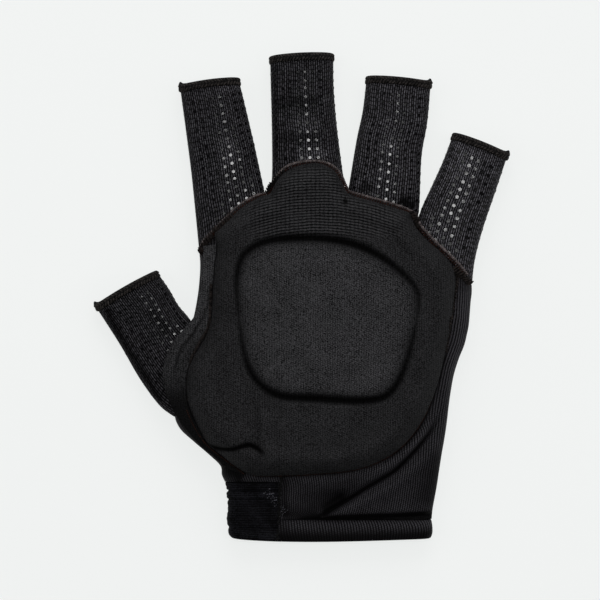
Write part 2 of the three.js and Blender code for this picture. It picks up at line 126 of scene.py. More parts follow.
# The height of all such rows at points of the plan
def foldsAt(points, rows):
    height = np.zeros(points.shape[:-1])
    for row in rows:
        distance, share, side = alongPath(points, through(row["path"], 60))
        width = np.where(side > 0, row["width"], row["right"])
        fade = smooth(share, 0, row["fade"][0]) * smooth(1 - share, 0, row["fade"][1])
        height += row["height"] * fade * hump(distance, 0, width)
    return height


# Unit normals of a grid whose rows run to +Y and whose columns run to +X where it faces up.
def normalsOf(grid, closed):
    along = np.gradient(grid, axis=0)
    across = np.roll(grid, -1, 1) - np.roll(grid, 1, 1) if closed else np.gradient(grid, axis=1)
    normal = np.cross(across, along)
    return normal / np.maximum(np.linalg.norm(normal, axis=2, keepdims=True), 1e-9)


# Distances over the cloth in both directions, which the weave follows. A closed grid gets one column
# more than it has points, so that the pattern has no jump.
def weaveOf(grid, closed):
    loop = np.concatenate([grid, grid[:, :1]], axis=1) if closed else grid
    across = np.linalg.norm(np.diff(loop, axis=1), axis=2)
    u = np.concatenate([np.zeros((len(grid), 1)), np.cumsum(across, axis=1)], axis=1)
    u = u * u[:, -1:].mean() / u[:, -1:]
    along = np.linalg.norm(np.diff(grid, axis=0), axis=2).mean(axis=1)
    v = np.repeat(np.r_[0, np.cumsum(along)][:, None], u.shape[1], axis=1)
    return u, v


def gridFaces(rows, columns, closed, keep=None):
    r, c = np.meshgrid(np.arange(rows - 1), np.arange(columns if closed else columns - 1), indexing="ij")
    r, c = (r[keep], c[keep]) if keep is not None else (r.ravel(), c.ravel())
    corners = [(r, c), (r, c + 1), (r + 1, c + 1), (r + 1, c)]
    faces = np.stack([row * columns + column % columns for row, column in corners], axis=1)
    return faces, corners


# A mesh piece from points in millimetres. Loops are the weave's coordinates at each face's corners,
# and the painted shade at each point says how much lighter or darker the cloth is painted: lighter
# where it would catch the light, and darker in its creases and hollows, where shade falls.
def makePiece(name, points, faces, material, loops=None, paintedShade=None):
    mesh = bpy.data.meshes.new(name)
    mesh.from_pydata((np.asarray(points).reshape(-1, 3) * 0.001).tolist(), [], [list(f) for f in faces])
    if loops is not None:
        mesh.uv_layers.new(name="weave").data.foreach_set("uv", np.asarray(loops, np.float32).ravel())
    if paintedShade is not None:
        mesh.attributes.new("paintedShade", "FLOAT", "POINT").data.foreach_set("value", np.ravel(paintedShade))
    mesh.materials.append(material)
    mesh.shade_smooth()
    piece = bpy.data.objects.new(name, mesh)
    scene.collection.objects.link(piece)
    return piece


# Drops points that no face uses, and turns the faces of a closed shape outwards.
def tidyMesh(piece, outwards=False):
    work = bmesh.new()
    work.from_mesh(piece.data)
    bmesh.ops.delete(work, geom=[v for v in work.verts if not v.link_faces], context="VERTS")
    if outwards:
        bmesh.ops.recalc_face_normals(work, faces=work.faces)
    work.to_mesh(piece.data)
    work.free()


# An open sheet of cloth with the wall below its face.
def clothSheet(name, grid, wall, material, keep=None, paintedShade=None):
    faces, corners = gridFaces(*grid.shape[:2], False, keep)
    u, v = weaveOf(grid, False)
    loops = np.stack([np.stack([u[corner], v[corner]], axis=1) for corner in corners], axis=1)
    paintedShade = np.ones(grid.shape[:2]) if paintedShade is None else paintedShade
    piece = makePiece(name, grid, faces.tolist(), material, loops, paintedShade)
    tidyMesh(piece)
    solid = piece.modifiers.new("wall", "SOLIDIFY")
    solid.thickness = wall * 0.001
    solid.offset = -1
    return piece


# A tube of cloth, open at both ends. Its inner face has fewer rows.
def clothTube(name, outer, wall, material, paintedShade, stride=3):
    rows, columns = outer.shape[:2]
    picked = np.unique(np.r_[np.arange(0, rows, stride), rows - 1])
    inner = (outer - wall * normalsOf(outer, True))[picked]
    u, v = weaveOf(outer, True)
    faces, corners = gridFaces(rows, columns, True)
    innerFaces, innerCorners = gridFaces(len(picked), columns, True)
    loops = [np.stack([u[r, c], v[r, c]], axis=1) for r, c in corners]
    innerLoops = [np.stack([u[picked[r], c], v[picked[r], c]], axis=1) for r, c in innerCorners]
    allFaces = faces.tolist() + (innerFaces[:, ::-1] + rows * columns).tolist()
    allLoops = [np.stack(loops, axis=1).reshape(-1, 2), np.stack(innerLoops[::-1], axis=1).reshape(-1, 2)]
    for row, innerRow in ((0, 0), (rows - 1, len(picked) - 1)):
        for c in range(columns):
            after = (c + 1) % columns
            base = rows * columns + innerRow * columns
            rim = [row * columns + c, base + c, base + after, row * columns + after]
            allFaces.append(rim if row == 0 else rim[::-1])
            edge = [[u[row, c], v[row, c]]] * 2 + [[u[row, c + 1], v[row, c]]] * 2
            allLoops.append(np.array(edge if row == 0 else edge[::-1]))
    points = np.vstack([outer.reshape(-1, 3), inner.reshape(-1, 3)])
    paintedShade = np.r_[paintedShade.ravel(), paintedShade[picked].ravel()]
    return makePiece(name, points, allFaces, material, np.vstack(allLoops), paintedShade)


# The height of the highest of some grids at points of the plan.
def groundOf(grids):
    trees = []
    for grid, closed in grids:
        faces, corners = gridFaces(*grid.shape[:2], closed)
        trees.append(BVHTree.FromPolygons(grid.reshape(-1, 3).tolist(), faces.tolist()))

    def ground(points, lowest=0.0):
        heights = []
        for x, y in np.asarray(points)[..., :2].reshape(-1, 2):
            hits = [tree.ray_cast(Vector((x, y, 90)), Vector((0, 0, -1)))[0] for tree in trees]
            heights.append(max([lowest] + [hit.z for hit in hits if hit]))
        return np.array(heights).reshape(np.asarray(points).shape[:-1])

    return ground


# Feeds a node's input: a value is set, and a socket or an amount is linked.
def feed(tree, value, entry):
    value = getattr(value, "socket", value)
    if isinstance(value, bpy.types.NodeSocket):
        tree.links.new(value, entry)
    else:
        entry.default_value = value


# Adds a node to a tree. Its settings are set first, and then its inputs.
def addNode(tree, kind, settings, inputs):
    made = tree.nodes.new(kind)
    for key, value in (settings or {}).items():
        setattr(made, key, value)
    for key, value in (inputs or {}).items():
        feed(tree, value, made.inputs[key])
    return made


# Shader maths: a number on a socket, with the operators that the patterns below use.
class Amount:
    def __init__(self, finish, socket):
        self.finish = finish
        self.socket = socket

    def maths(self, operation, *others, clamp=False):
        inputs = {k: value for k, value in enumerate((self, *others))}
        return self.finish.node("ShaderNodeMath", {"operation": operation, "use_clamp": clamp}, inputs)

    def __add__(self, other):
        return self.maths("ADD", other)

    def __sub__(self, other):
        return self.maths("SUBTRACT", other)

    def __rsub__(self, other):
        return self.finish.node("ShaderNodeMath", {"operation": "SUBTRACT"}, {0: other, 1: self})

    def __mul__(self, other):
        return self.maths("MULTIPLY", other)

    def __truediv__(self, other):
        return self.maths("DIVIDE", other)

    def __pow__(self, other):
        return self.maths("POWER", other)

    def __abs__(self):
        return self.maths("ABSOLUTE")

    __radd__ = __add__
    __rmul__ = __mul__

    def sine(self):
        return self.maths("SINE")

    def clamp(self):
        return self.maths("MULTIPLY", 1.0, clamp=True)

    # 0 below low and 1 above high
    def ramp(self, low, high):
        return self.finish.node("ShaderNodeMapRange", {"interpolation_type": "SMOOTHSTEP"},
                                {"Value": self, "From Min": low, "From Max": high})


# A material with a Principled shader, whose constants are set on its own sockets.
class Finish:
    def __init__(self, name, **constants):
        self.material = bpy.data.materials.new(name)
        self.material.use_nodes = True
        self.tree = self.material.node_tree
        self.shader = self.tree.nodes["Principled BSDF"]
        for socket, value in constants.items():
            self.shader.inputs[socket.replace("_", " ")].default_value = value

    # Feeds a socket of the shader itself
    def join(self, value, label):
        feed(self.tree, value, self.shader.inputs[label])

    def node(self, kind, settings=None, inputs=None, output=0):
        return Amount(self, addNode(self.tree, kind, settings, inputs).outputs[output])

    # Millimetres along the cloth's own weave, or in the object's frame
    def weave(self):
        uv = self.node("ShaderNodeUVMap", {"uv_map": "weave"})
        return [self.node("ShaderNodeSeparateXYZ", {}, {0: uv}, output) for output in (0, 1)]

    def place(self):
        spot = self.node("ShaderNodeTexCoord", {}, {}, "Object")
        return [self.node("ShaderNodeSeparateXYZ", {}, {0: spot}, output) * 1000.0 for output in range(3)]

    # Random cloudiness whose grains are size millimetres across
    def cloud(self, size, detail=3.0, rough=0.5):
        spot = self.node("ShaderNodeTexCoord", {}, {}, "Object")
        settings = {"Vector": spot, "Scale": 1000.0 / size, "Detail": detail, "Roughness": rough}
        return self.node("ShaderNodeTexNoise", {}, settings)

    # Cloudiness drawn out along the threads
    def streaks(self, u, v):
        spot = self.node("ShaderNodeCombineXYZ", {}, {0: u, 1: v})
        return self.node("ShaderNodeTexNoise", {}, {"Vector": spot, "Scale": 1.0, "Detail": 1.0})

    # A value that the mesh carries at its points
    def given(self, label):
        return self.node("ShaderNodeAttribute", {"attribute_name": label}, {}, "Fac")

    def blend(self, factor, first, second):
        colours = {"Factor": factor, 6: (*first, 1.0), 7: (*second, 1.0)}
        return self.node("ShaderNodeMix", {"data_type": "RGBA"}, colours, 2)

    def roughness(self, value):
        self.join(value, "Roughness")

    # The shader's colour runs from dark to light with the tone, which the mesh's painted light and shade
    # may scale.
    def paint(self, tone, dark, light, withPaintedShade=True):
        tone = tone * self.given("paintedShade") if withPaintedShade else tone
        self.join(self.blend(tone.clamp(), dark, light), "Base Color")

    # Relief of the surface, as a height in millimetres
    def relief(self, height, strength=1.0):
        bump = self.node("ShaderNodeBump", {}, {"Height": height, "Distance": 0.001, "Strength": strength})
        self.join(bump, "Normal")


# Where the cloth is drawn over the knuckles, its courses open into arcs about a middle line.
arcs = {"middle": -4.0, "bend": 0.006, "pitch": 1.15, "wander": 2.2, "wale": 1.7}


# A plain knit of fine wales and courses. Own is for pieces that carry the weave's coordinates.
def knitFinish(name, look):
    finish = Finish(name, Sheen_Weight=look["sheen"], Sheen_Roughness=0.35,
                    Specular_IOR_Level=look["gloss"])
    x, y = finish.place()[:2]
    u, v = finish.weave() if look["own"] else (x, y)
    wale = abs((u * (math.pi / look["wale"]) + finish.cloud(5.0) * look["bend"]).sine()) ** look["sharp"]
    course = abs((v * (math.pi / look["course"]) + u * (math.pi / 2 / look["wale"])).sine())
    cloud = finish.cloud(11.0)
    grain = finish.cloud(0.5, 2.0, 0.7)
    plain = wale * ((1 - look["cross"]) + course * look["cross"])
    aside = x - arcs["middle"]
    bent = (y + aside * aside * arcs["bend"]) * (math.pi / arcs["pitch"])
    arc = abs((bent + finish.cloud(6.0) * arcs["wander"]).sine())
    arc = (arc * (0.6 + abs((x * (math.pi / arcs["wale"])).sine()) * 0.4) - 0.42) * 3.3 + 0.14
    height = plain + (arc - plain) * finish.given("drawn")
    tone = height * look["contrast"] + (cloud - 0.5) * 0.35 + (grain - 0.5) * look["grain"] + look["base"]
    finish.paint(tone, look["dark"], look["light"])
    finish.roughness(look["rough"] + (cloud - 0.5) * 0.2)
    finish.relief(height.clamp() * look["depth"] + (grain - 0.5) * 0.08)
    return finish.material


# Sleeve cloth: raised threads in short dashes, with dark gaps between them.
def sleeveFinish(look):
    finish = Finish("sleeve_knit", Specular_IOR_Level=0.03)
    u, v = finish.weave()
    column = u / look["wale"]
    chance = finish.node("ShaderNodeTexWhiteNoise", {"noise_dimensions": "1D"},
                         {"W": column.maths("FLOOR")})
    wale = abs((column * math.pi).sine())
    dash = abs(((v / look["run"] + chance * 3.0) * math.pi).sine())
    streak = finish.streaks(column, v / (2 * look["run"]))
    grain = finish.cloud(0.5, 2.0, 0.7)
    cloud = finish.cloud(7.0)
    thread = wale ** 3.0 * (0.3 + dash.ramp(0.2, 0.7) * 0.7)
    tone = thread * (0.5 + streak.ramp(0.3, 0.7) * 0.8) + (grain - 0.5) * 0.12 + (cloud - 0.5) * 0.1
    finish.paint(tone, look["dark"], look["light"])
    finish.roughness(0.75 - thread * 0.15)
    finish.relief(thread * 0.12 + (grain - 0.5) * 0.05)
    return finish.material


# Woven elastic: cross ribs that follow the piece's own weave.
def elasticFinish(look):
    finish = Finish("wrist_elastic", Specular_IOR_Level=0.03)
    u, v = finish.weave()
    rib = abs((v * (math.pi / look["rib"]) + finish.cloud(6.0) * 0.9).sine())
    thread = abs((u * (math.pi / look["thread"])).sine())
    cloud = finish.cloud(6.0)
    grain = finish.cloud(0.6, 2.0, 0.7)
    tone = rib * 0.6 + thread * 0.2 + (cloud - 0.5) * 1.4 + (grain - 0.5) * 3.0 - 0.2
    finish.paint(tone, look["dark"], look["light"])
    finish.roughness(0.7 + (cloud - 0.5) * 0.2)
    finish.relief(rib * 0.1 + thread * 0.03)
    return finish.material


def threadFinish(name, dark, light, twist=0.55):
    finish = Finish(name, Specular_IOR_Level=0.08)
    x, y, z = finish.place()
    strand = abs(((x + y * 1.3 + z * 0.7) * (math.pi / twist)).sine())
    cloud = finish.cloud(1.2, 2.0, 0.7)
    finish.paint(strand * 0.35 + (cloud - 0.42) * 2.4, dark, light, withPaintedShade=False)
    finish.roughness(0.62 + cloud * 0.2)
    finish.relief(strand * 0.05)
    return finish.material


def dotFinish(look):
    finish = Finish("grip_dot", Specular_IOR_Level=0.15)
    cloud = finish.cloud(5.0)
    finish.paint(cloud, look["dark"], look["light"], withPaintedShade=False)
    finish.roughness(0.13 + finish.cloud(12.0).ramp(0.5, 0.62) * 0.2)
    finish.relief(finish.cloud(0.8) * 0.015)
    return finish.material


def floorFinish(look):
    finish = Finish("floor", Specular_IOR_Level=0.0)
    cloud = finish.cloud(400.0)
    finish.paint(cloud, look["dark"], look["light"], withPaintedShade=False)
    finish.roughness(0.95 + cloud * 0.03)
    finish.join((*look["glow"], 1.0), "Emission Color")
    finish.shader.inputs["Emission Strength"].default_value = look["glowStrength"]
    return finish.material


looks = {
    "body": {"wale": 1.1, "course": 0.8, "cross": 0.5, "sharp": 1.3, "bend": 1.5, "contrast": 1.65,
             "base": -0.36, "grain": 1.9, "dark": (0.0012, 0.001, 0.0012), "light": (0.08, 0.077, 0.087),
             "depth": 0.1, "sheen": 0.005, "gloss": 0.04, "rough": 0.6, "own": True},
    "pad": {"wale": 0.95, "course": 0.85, "cross": 0.85, "sharp": 1.0, "bend": 2.4, "contrast": 0.35,
            "base": 0.235, "grain": 2.3, "dark": (0.0012, 0.0012, 0.0012),
            "light": (0.075, 0.0745, 0.079), "depth": 0.09, "sheen": 0.005, "gloss": 0.03, "rough": 0.7,
            "own": False},
    "sleeve": {"wale": 0.95, "run": 1.7, "dark": (0.0005, 0.0005, 0.0005), "light": (0.19, 0.184, 0.205)},
    "elastic": {"rib": 0.95, "thread": 0.8, "dark": (0.0008, 0.0008, 0.0008),
                "light": (0.011, 0.011, 0.0138)},
    "dot": {"dark": (0.0008, 0.0008, 0.001), "light": (0.003, 0.003, 0.0035)},
    "floor": {"dark": (0.19, 0.19, 0.19), "light": (0.21, 0.21, 0.21),
              "glow": (0.875, 0.895, 0.885), "glowStrength": 0.836},
}

bodyKnit = knitFinish("body_knit", looks["body"])
padKnit = knitFinish("pad_knit", looks["pad"])
sleeveKnit = sleeveFinish(looks["sleeve"])
elasticKnit = elasticFinish(looks["elastic"])
hemThread = threadFinish("hem_thread", (0.0013, 0.0011, 0.0010), (0.052, 0.045, 0.042))
ropeThread = threadFinish("rope_thread", (0.0006, 0.0005, 0.0005), (0.03, 0.024, 0.022))
darkThread = threadFinish("dark_thread", (0.0008, 0.0008, 0.0008), (0.008, 0.008, 0.008))
brownThread = threadFinish("brown_thread", (0.0022, 0.0008, 0.0006), (0.038, 0.0135, 0.0078))
paleThread = threadFinish("pale_thread", (0.018, 0.015, 0.015), (0.19, 0.16, 0.16))
greyThread = threadFinish("grey_thread", (0.006, 0.006, 0.0075), (0.16, 0.16, 0.185))
dotRubber = dotFinish(looks["dot"])
print("finishes made")


# Geometry Nodes: short forms laid along a path or on points

socketKinds = {float: "NodeSocketFloat", int: "NodeSocketInt", type(None): "NodeSocketMaterial"}


# A tree whose inputs are the given sizes, by name, and a material
class NodeWork:
    def __init__(self, name, sizes):
        self.tree = bpy.data.node_groups.new(name, "GeometryNodeTree")
        face = self.tree.interface
        face.new_socket(name="Geometry", in_out="INPUT", socket_type="NodeSocketGeometry")
        for label, value in {**sizes, "Material": None}.items():
            socket = face.new_socket(name=label, in_out="INPUT", socket_type=socketKinds[type(value)])
            if value is not None:
                socket.default_value = value
        face.new_socket(name="Geometry", in_out="OUTPUT", socket_type="NodeSocketGeometry")
        self.entry = self.tree.nodes.new("NodeGroupInput")
        self.exit = self.tree.nodes.new("NodeGroupOutput")

    def node(self, kind, settings=None, inputs=None, output=0):
        return addNode(self.tree, kind, settings, inputs).outputs[output]

    def given(self, label):
        return self.entry.outputs[label]

    def maths(self, operation, first, second=0.0):
        return self.node("ShaderNodeMath", {"operation": operation}, {0: first, 1: second})

    # The way that each point's cloth faces, and a number from -1 to 1 for each point
    def facing(self):
        kind = {"data_type": "FLOAT_VECTOR"}
        return self.node("GeometryNodeInputNamedAttribute", kind, {"Name": "facing"})

    def chance(self):
        ends = {2: -1.0, 3: 1.0, "Seed": self.given("Seed")}
        return self.node("FunctionNodeRandomValue", {"data_type": "FLOAT"}, ends, 1)

    # Ends the tree: the instances become a mesh with the given material
    def finish(self, geometry):
        real = self.node("GeometryNodeRealizeInstances", {}, {"Geometry": geometry})
        painted = self.node("GeometryNodeSetMaterial", {}, {
            "Geometry": real, "Material": self.given("Material")})
        self.tree.links.new(painted, self.exit.inputs[0])
        return self.tree


# A round bead stretched to a stitch or a dot
def beadNodes(work, segments, rings, flat=0.5):
    bead = work.node("GeometryNodeMeshUVSphere", {}, {"Segments": segments, "Rings": rings, "Radius": 0.5})
    spot = work.node("GeometryNodeInputPosition")
    x, y, z = (work.node("ShaderNodeSeparateXYZ", {}, {0: spot}, k) for k in range(3))
    pressed = work.node("ShaderNodeCombineXYZ", {}, {0: x, 1: y, 2: work.maths("MINIMUM", z, flat)})
    bead = work.node("GeometryNodeSetPosition", {}, {"Geometry": bead, "Position": pressed})
    size = work.node("ShaderNodeCombineXYZ", {}, {
        0: work.given("Length"), 1: work.given("Width"), 2: work.given("Height")})
    return work.node("GeometryNodeTransform", {}, {"Geometry": bead, "Scale": size})


# Stitches at an even pitch along a path, turned by their slant, each second one by the zigzag as well.
def stitchTree():
    work = NodeWork("stitches", {
        "Pitch": 0.001, "Length": 0.001, "Width": 0.0005, "Height": 0.0005, "Slant": 0.0, "Zigzag": 0.0,
        "Unevenness": 0.1, "Seed": 1})
    curve = work.node("GeometryNodeMeshToCurve", {}, {"Mesh": work.given("Geometry")})
    even = work.node("GeometryNodeResampleCurve", {"mode": "LENGTH"}, {
        "Curve": curve, "Length": work.given("Pitch")})
    tangent = work.node("GeometryNodeInputTangent")
    turned = work.node("FunctionNodeAlignRotationToVector", {"axis": "X"}, {"Vector": tangent})
    laid = work.node("FunctionNodeAlignRotationToVector", {"axis": "Z", "pivot_axis": "X"}, {
        "Rotation": turned, "Vector": work.facing()})
    odd = work.maths("MODULO", work.node("GeometryNodeInputIndex"), 2.0)
    swing = work.maths("MULTIPLY", work.maths("SUBTRACT", odd, 0.5), work.given("Zigzag"))
    wobble = work.maths("MULTIPLY", work.chance(), work.given("Unevenness"))
    angle = work.maths("ADD", work.maths("ADD", work.given("Slant"), swing), wobble)
    spin = work.node("FunctionNodeAxisAngleToRotation", {}, {"Axis": (0.0, 0.0, 1.0), "Angle": angle})
    rotation = work.node("FunctionNodeRotateRotation", {"rotation_space": "LOCAL"}, {
        "Rotation": laid, "Rotate By": spin})
    size = work.maths("ADD", 1.0, work.maths("MULTIPLY", wobble, 0.5))
    placed = work.node("GeometryNodeInstanceOnPoints", {}, {
        "Points": even, "Instance": beadNodes(work, 8, 5), "Rotation": rotation, "Scale": size})
    return work.finish(placed)


# Flat-topped dots on points, each turned to face away from the cloth.
def dotTree():
    work = NodeWork("dots", {
        "Length": 0.0016, "Width": 0.0016, "Height": 0.0006, "Unevenness": 0.1, "Seed": 1})
    points = work.node("GeometryNodeMeshToPoints", {}, {"Mesh": work.given("Geometry")})
    turned = work.node("FunctionNodeAlignRotationToVector", {"axis": "Z"}, {"Vector": work.facing()})
    size = work.maths("ADD", 1.0, work.maths("MULTIPLY", work.chance(), work.given("Unevenness")))
    placed = work.node("GeometryNodeInstanceOnPoints", {}, {
        "Points": points, "Instance": beadNodes(work, 8, 6, 0.2), "Rotation": turned, "Scale": size})
    return work.finish(placed)


trees = {"stitches": stitchTree(), "dots": dotTree()}


# Runs a tree on a path or on points and returns the result as a plain mesh piece.
def laidAlong(name, kind, points, facing, values, material, joined=True, closed=False):
    count = len(points)
    edges = [(k, (k + 1) % count) for k in range(count if closed else count - 1)] if joined else []
    mesh = bpy.data.meshes.new(name + "_path")
    mesh.from_pydata((np.asarray(points) * 0.001).tolist(), edges, [])
    mesh.attributes.new("facing", "FLOAT_VECTOR", "POINT").data.foreach_set("vector", np.ravel(facing))
    path = bpy.data.objects.new(name + "_path", mesh)
    scene.collection.objects.link(path)
    modifier = path.modifiers.new(kind, "NODES")
    modifier.node_group = trees[kind]
    entries = [item for item in trees[kind].interface.items_tree if item.in_out == "INPUT"]
    sockets = {item.name: item.identifier for item in entries}
    for label, value in {**values, "Material": material}.items():
        modifier[sockets[label]] = value
    path.update_tag()
    graph = bpy.context.evaluated_depsgraph_get()
    made = bpy.data.meshes.new_from_object(path.evaluated_get(graph), depsgraph=graph)
    bpy.data.objects.remove(path)
    made.name = name
    if kind == "dots":
        made.shade_flat()
    else:
        made.shade_smooth()
    piece = bpy.data.objects.new(name, made)
    scene.collection.objects.link(piece)
    return piece


# Stitch sizes in millimetres and angles in degrees
def stitched(name, points, facing, look, material, closed=False):
    values = {key: look[key.lower()] * 0.001 for key in ("Pitch", "Length", "Width", "Height")}
    values["Slant"] = math.radians(look["slant"])
    values["Zigzag"] = math.radians(look.get("zigzag", 0))
    values["Unevenness"] = look["unevenness"]
    values["Seed"] = look["seed"]
    return laidAlong(name, "stitches", points, facing, values, material, True, closed)


# Joins pieces into the first one, under its name.
def joinPieces(pieces):
    with bpy.context.temp_override(active_object=pieces[0], selected_editable_objects=pieces):
        bpy.ops.object.join()
    return pieces[0]


def settle(piece, slot, *nodes):
    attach(piece, "root")
    if nodes:
        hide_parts(*nodes)
    return piece


# Body of the glove: a flattened tube. Across is a share of its width and along of its length.
hand = {"width": 108.0, "length": 141.0, "fold": 4.4, "dome": 5.0, "wall": 1.2, "cuffSeam": 0.25,
        "wristDip": 1.4, "dipCurve": 0.7, "crotchReach": 9.0, "foldShare": 0.06, "domeCurve": 2.6,
        "fingerDome": 1.0}


def plan(across, along):
    return np.array([across * hand["width"], along * hand["length"]])


knuckles = [plan(-0.476, 0.199), plan(-0.226, 0.34), plan(0.067, 0.343), plan(0.322, 0.264),
            plan(0.53, 0.099)]
thumbSeam = [plan(-0.565, -0.275), plan(-0.5, -0.006)]
knuckleMarks = [0, 0.25, 0.54, 0.805, 1]

# left across, left along, right across, right along, crown, open to the thumb, dip of the wrist
bodyRows = np.array([
    (-0.355, -0.614, 0.378, -0.616, 0.1, 0, 1),
    (-0.367, -0.594, 0.38, -0.596, 0.1, 0, 0.7),
    (-0.374, -0.562, 0.382, -0.562, 0.12, 0, 0),
    (-0.37, -0.535, 0.386, -0.532, 0.16, 0, 0),
    (-0.372, -0.505, 0.393, -0.503, 0.22, 0, 0),
    (-0.374, -0.48, 0.399, -0.478, 0.3, 0, 0),
    (-0.381, -0.457, 0.404, -0.455, 0.38, 0, 0),
    (-0.392, -0.437, 0.408, -0.434, 0.46, 0, 0),
    (-0.398, -0.411, 0.413, -0.409, 0.56, 0, 0),
    (-0.444, -0.377, 0.42, -0.375, 0.68, 0, 0),
    (-0.496, -0.343, 0.428, -0.341, 0.78, 0, 0),
    (-0.544, -0.309, 0.435, -0.307, 0.86, 0, 0),
    (-0.565, -0.275, 0.44, -0.278, 0.9, 0, 0),
    (-0.5585, -0.2481, 0.444, -0.25, 0.94, 1, 0),
    (-0.5468, -0.1997, 0.452, -0.205, 1, 1, 0),
    (-0.5325, -0.1405, 0.464, -0.155, 1, 1, 0),
    (-0.5182, -0.0813, 0.482, -0.11, 1, 1, 0),
    (-0.5065, -0.0329, 0.502, -0.072, 0.98, 1, 0),
    (-0.5, -0.006, 0.511, -0.045, 0.96, 0.5, 0),
    (-0.49, 0.03, 0.519, -0.015, 0.92, 0, 0),
    (-0.48, 0.075, 0.523, 0.02, 0.84, 0, 0),
    (-0.474, 0.12, 0.526, 0.05, 0.72, 0, 0),
    (-0.472, 0.16, 0.53, 0.077, 0.56, 0, 0),
    (-0.476, 0.199, 0.53, 0.099, 0.4, 0, 0),
])
hemRow, elasticRow, bendRow, lastRow = 2, 6, 12, 23

mainCrease = [(46.5, -33), (41.6, -42.8), (34.6, -51.6), (27.1, -59.2), (21.4, -63), (15.2, -66.6),
              (5.2, -73.2), (-4.8, -79)]
underCrease = [(46, -44), (40, -52), (32, -60), (24.6, -66.2), (16, -70.6), (8, -74.8), (0, -78.4)]
hemCrease = [(-15, -80), (-6, -79.7), (4, -79.2), (14, -78.8), (28, -78.4), (43, -77.4)]

bodyFolds = [
    # the roll of cloth below the pad, the deep crease under it and its wide lower end
    fold([(42, -34), (36, -46.4), (29.2, -54.4), (19.6, -60.4), (6, -66), (-8, -69)], 2.0, 3.0,
          right=3.4, fade=(0.2, 0.3)),
    fold(mainCrease, -2.8, 0.8, right=1.0, fade=(0.25, 0.08)),
    fold([(10, -67.8), (3.4, -71.6), (-4, -76)], -1.5, 2.2, fade=(0.4, 0.3)),
    fold(underCrease, 1.5, 2.6, right=1.6, fade=(0.4, 0.2)),
    # the crease above the wrist hem
    fold(hemCrease, -2.4, 1.1, right=2.8, fade=(0.3, 0.02)),
    # slack cloth on the outside of the hand
    fold([(46, -54), (44, -62), (42, -72)], -0.5, 2.2),
    fold([(38, -62), (36, -68), (33, -75)], 0.45, 2.4),
    fold([(52.5, 10), (51.5, -4), (48.6, -20), (45.8, -33)], 0.5, 1.6),
    fold([(-30, -66), (-24, -70), (-14, -72)], 0.5, 1.8),
]


# Painted light and shade on the back cloth: its rolls and ridges are painted lighter, as if lit, and
# its creases and hollows are painted darker, as if in shade.
bodyPaintedShading = [
    fold([(54.5, 12), (53.2, -2), (50, -18), (47.2, -33)], 0.2, 3.2, fade=(0.02, 0.3)),
    fold(mainCrease, -0.5, 0.55, right=0.8, fade=(0.3, 0.02)),
    fold([(14, -63), (5, -67), (-4, -72), (-9, -77)], -0.14, 3.4),
    fold([(-17.4, -62), (-17.4, -70), (-17.6, -78)], -0.26, 1.6, fade=(0.05, 0.05)),
    fold([(10, -68), (3.4, -72), (-4, -76.4)], -0.35, 2.0, fade=(0.4, 0.2)),
    fold(underCrease, 0.14, 2.6, right=1.4, fade=(0.2, 0.2)),
    fold([(44, -37), (38, -45), (31, -52), (21, -58), (6, -62.2), (-6, -63.4), (-15, -63.6)], 0.26, 1.5),
    fold([(-15, -70), (-2, -69), (8, -67)], -0.12, 3.6),
    # painted shadow at the foot of the pad, and painted shade on the cloth below the thumb
    fold([(46.6, -11.8), (44.6, -20.6), (41.8, -29.8), (38.2, -38.8), (32.8, -46.4), (26.2, -52.6),
          (18, -56.8), (8.4, -59.6), (-3.2, -60.8), (-17.2, -61.6), (-29.8, -61.6)], -0.5, 0.7,
          fade=(0.02, 0.02)),
    fold([(-58, -30), (-55, -40), (-50, -50), (-42, -57.4), (-33, -63.4)], -0.4, 3.4, fade=(0.05, 0.05)),
    fold(hemCrease, -1.2, 1.5, right=3.0, fade=(0.25, 0.02)),
    fold([(46, -50), (41, -64), (38, -76)], -0.25, 7.0),
    fold([(-18, -77), (-10, -77.4), (-2, -77.8)], -0.3, 3.4, fade=(0.02, 0.2)),
    fold([(-38, -64.4), (-30, -64.6), (-22, -64.8)], -0.3, 0.8),
    fold([(-4, -63), (10, -61.5), (22, -57)], -0.15, 2.0),
]


def lightAndShadeAt(grid, rows, base):
    return np.clip(base + foldsAt(grid, rows), 0.03, 2)


# A column's place across a row of the given width, and how far it has risen out of the side fold.
def acrossAt(columns, width):
    radius, turn, seam = hand["fold"], hand["foldShare"], hand["cuffSeam"]
    angle = np.clip(np.minimum(columns, 1 - columns) / turn, 0, 1) * (math.pi / 2)
    step = radius * (1 - np.cos(angle))
    low = radius + (seam * width - radius) * (columns - turn) / (seam - turn)
    high = seam * width + ((1 - seam) * width - radius) * (columns - seam) / (1 - turn - seam)
    across = np.where(columns < seam, low, high)
    across = np.where(columns < turn, step, across)
    across = np.where(columns > 1 - turn, width - step, across)
    return across, np.sin(angle)


